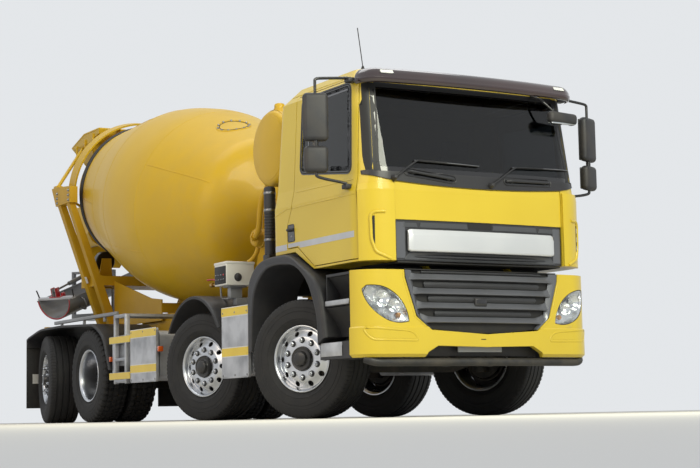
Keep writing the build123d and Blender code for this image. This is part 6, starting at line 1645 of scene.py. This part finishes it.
plates = [((-0.112, side * 0.034 - 0.005, 0.028), (-0.028, side * 0.034 + 0.005, 0.15)) for side in (-1, 1)]
plates += [((-0.106, -0.09, 0.026), (-0.034, 0.09, 0.04)), ((-0.16, -0.085, 0), (-0.104, -0.05, 0.07)),
           ((-0.16, 0.05, 0), (-0.104, 0.085, 0.07))]
blocks("chuteBracket", plates, 0.005, 2, "redEnamel", "trough", chuteMatrix)
print("rear gear made")

# Floor, backdrop and lights.
def plainFinish(name, hexText, skyText):
    # Matt studio paper: lit for shadows near the truck, and running out into the backdrop's own colour.
    material, tree, coords = newTree(name)
    shader = addNode(
        tree, "BsdfPrincipled", {"Base Color": linear(hexText), "Roughness": 0.9, "Specular IOR Level": 0.1})
    distance = addNode(tree, "VectorMath", {0: coords}, operation="LENGTH")
    away = addNode(tree, "MapRange", {"Value": distance.outputs["Value"],
                                      "From Min": stageSettings["floorNear"],
                                      "From Max": stageSettings["floorFar"]})
    path = addNode(tree, "LightPath")
    direct = addNode(tree, "Math", {0: path.outputs["Is Camera Ray"], 1: path.outputs["Is Glossy Ray"]},
                     operation="MAXIMUM")
    direct = addNode(tree, "Math", {0: direct, 1: path.outputs["Is Transmission Ray"]}, operation="MAXIMUM")
    share = addNode(tree, "Math", {0: away, 1: direct}, operation="MULTIPLY")
    backdrop = addNode(tree, "Emission", {"Color": linear(skyText), "Strength": stageSettings["skyShown"]})
    mixed = addNode(tree, "MixShader", {0: share, 1: shader, 2: backdrop})
    addNode(tree, "OutputMaterial", {"Surface": mixed})
    return material


floorMesh = meshFrom("floor", [(-60, -60, 0), (60, -60, 0), (60, 60, 0), (-60, 60, 0)], [(0, 1, 2, 3)])
floor = linked("floor", floorMesh)
floorMesh.materials.append(plainFinish("paleFloor", stageSettings["floorHex"], stageSettings["skyHex"]))

world = bpy.data.worlds.new("studio")
bpy.context.scene.world = world
world.use_nodes = True
tree = world.node_tree
tree.nodes.clear()
lightPath = addNode(tree, "LightPath")
seen = addNode(tree, "Math", {0: lightPath.outputs["Is Camera Ray"], 1: lightPath.outputs["Is Glossy Ray"]},
               operation="MAXIMUM")
seen = addNode(tree, "Math", {0: seen, 1: lightPath.outputs["Is Transmission Ray"]}, operation="MAXIMUM")
lit = addNode(
    tree, "Background", {"Color": linear(stageSettings["skyHex"]), "Strength": stageSettings["worldLight"]})
shown = addNode(
    tree, "Background", {"Color": linear(stageSettings["skyHex"]), "Strength": stageSettings["skyShown"]})
mixed = addNode(tree, "MixShader", {0: seen, 1: lit, 2: shown})
addNode(tree, "OutputWorld", {"Surface": mixed})


def areaLight(name, place, target, size, power, hexText="FFFFFF"):
    light = bpy.data.lights.new(name, "AREA")
    light.shape = "RECTANGLE"
    light.size, light.size_y = size
    light.energy = power
    light.color = linear(hexText)[:3]
    made = linked(name, light)
    made.location = place
    made.rotation_euler = (Vector(target) - Vector(place)).to_track_quat("-Z", "Y").to_euler()


areaLight(
    "keyLight", (frontX + 10, -1.5, 7.5), (frontX, 0, 1.6), (7, 4), stageSettings["keyPower"], "FFFFEA")
areaLight("sideLight", (frontX + 1.5, -12, 6), (0, 0, 1.5), (9, 5), stageSettings["sidePower"], "FFEBD0")
areaLight("topLight", (-1, 0, 12), (0, 0, 0), (12, 6), stageSettings["topPower"])

yaw, pitch, roll = (radians(stageSettings[key]) for key in ("yaw", "pitch", "roll"))
forward = Vector((cos(pitch) * cos(yaw), cos(pitch) * sin(yaw), sin(pitch)))
level = Vector((sin(yaw), -cos(yaw), 0))
upward = level.cross(forward)
across = level * cos(roll) + upward * sin(roll)
upward = upward * cos(roll) - level * sin(roll)
cameraData = bpy.data.cameras.new("camera")
cameraData.sensor_width = 36
cameraData.lens = stageSettings["focalPixels"] * 36 / stageSettings["imageWidth"]
cameraData.clip_end = 200
camera = linked("camera", cameraData)
place = stageSettings["cameraPlace"]
camera.matrix_world = Matrix(((across.x, upward.x, -forward.x, place[0]),
                              (across.y, upward.y, -forward.y, place[1]),
                              (across.z, upward.z, -forward.z, place[2]), (0, 0, 0, 1)))
bpy.context.scene.camera = camera
bpy.context.scene.view_settings.view_transform = "Standard"
print("stage made")
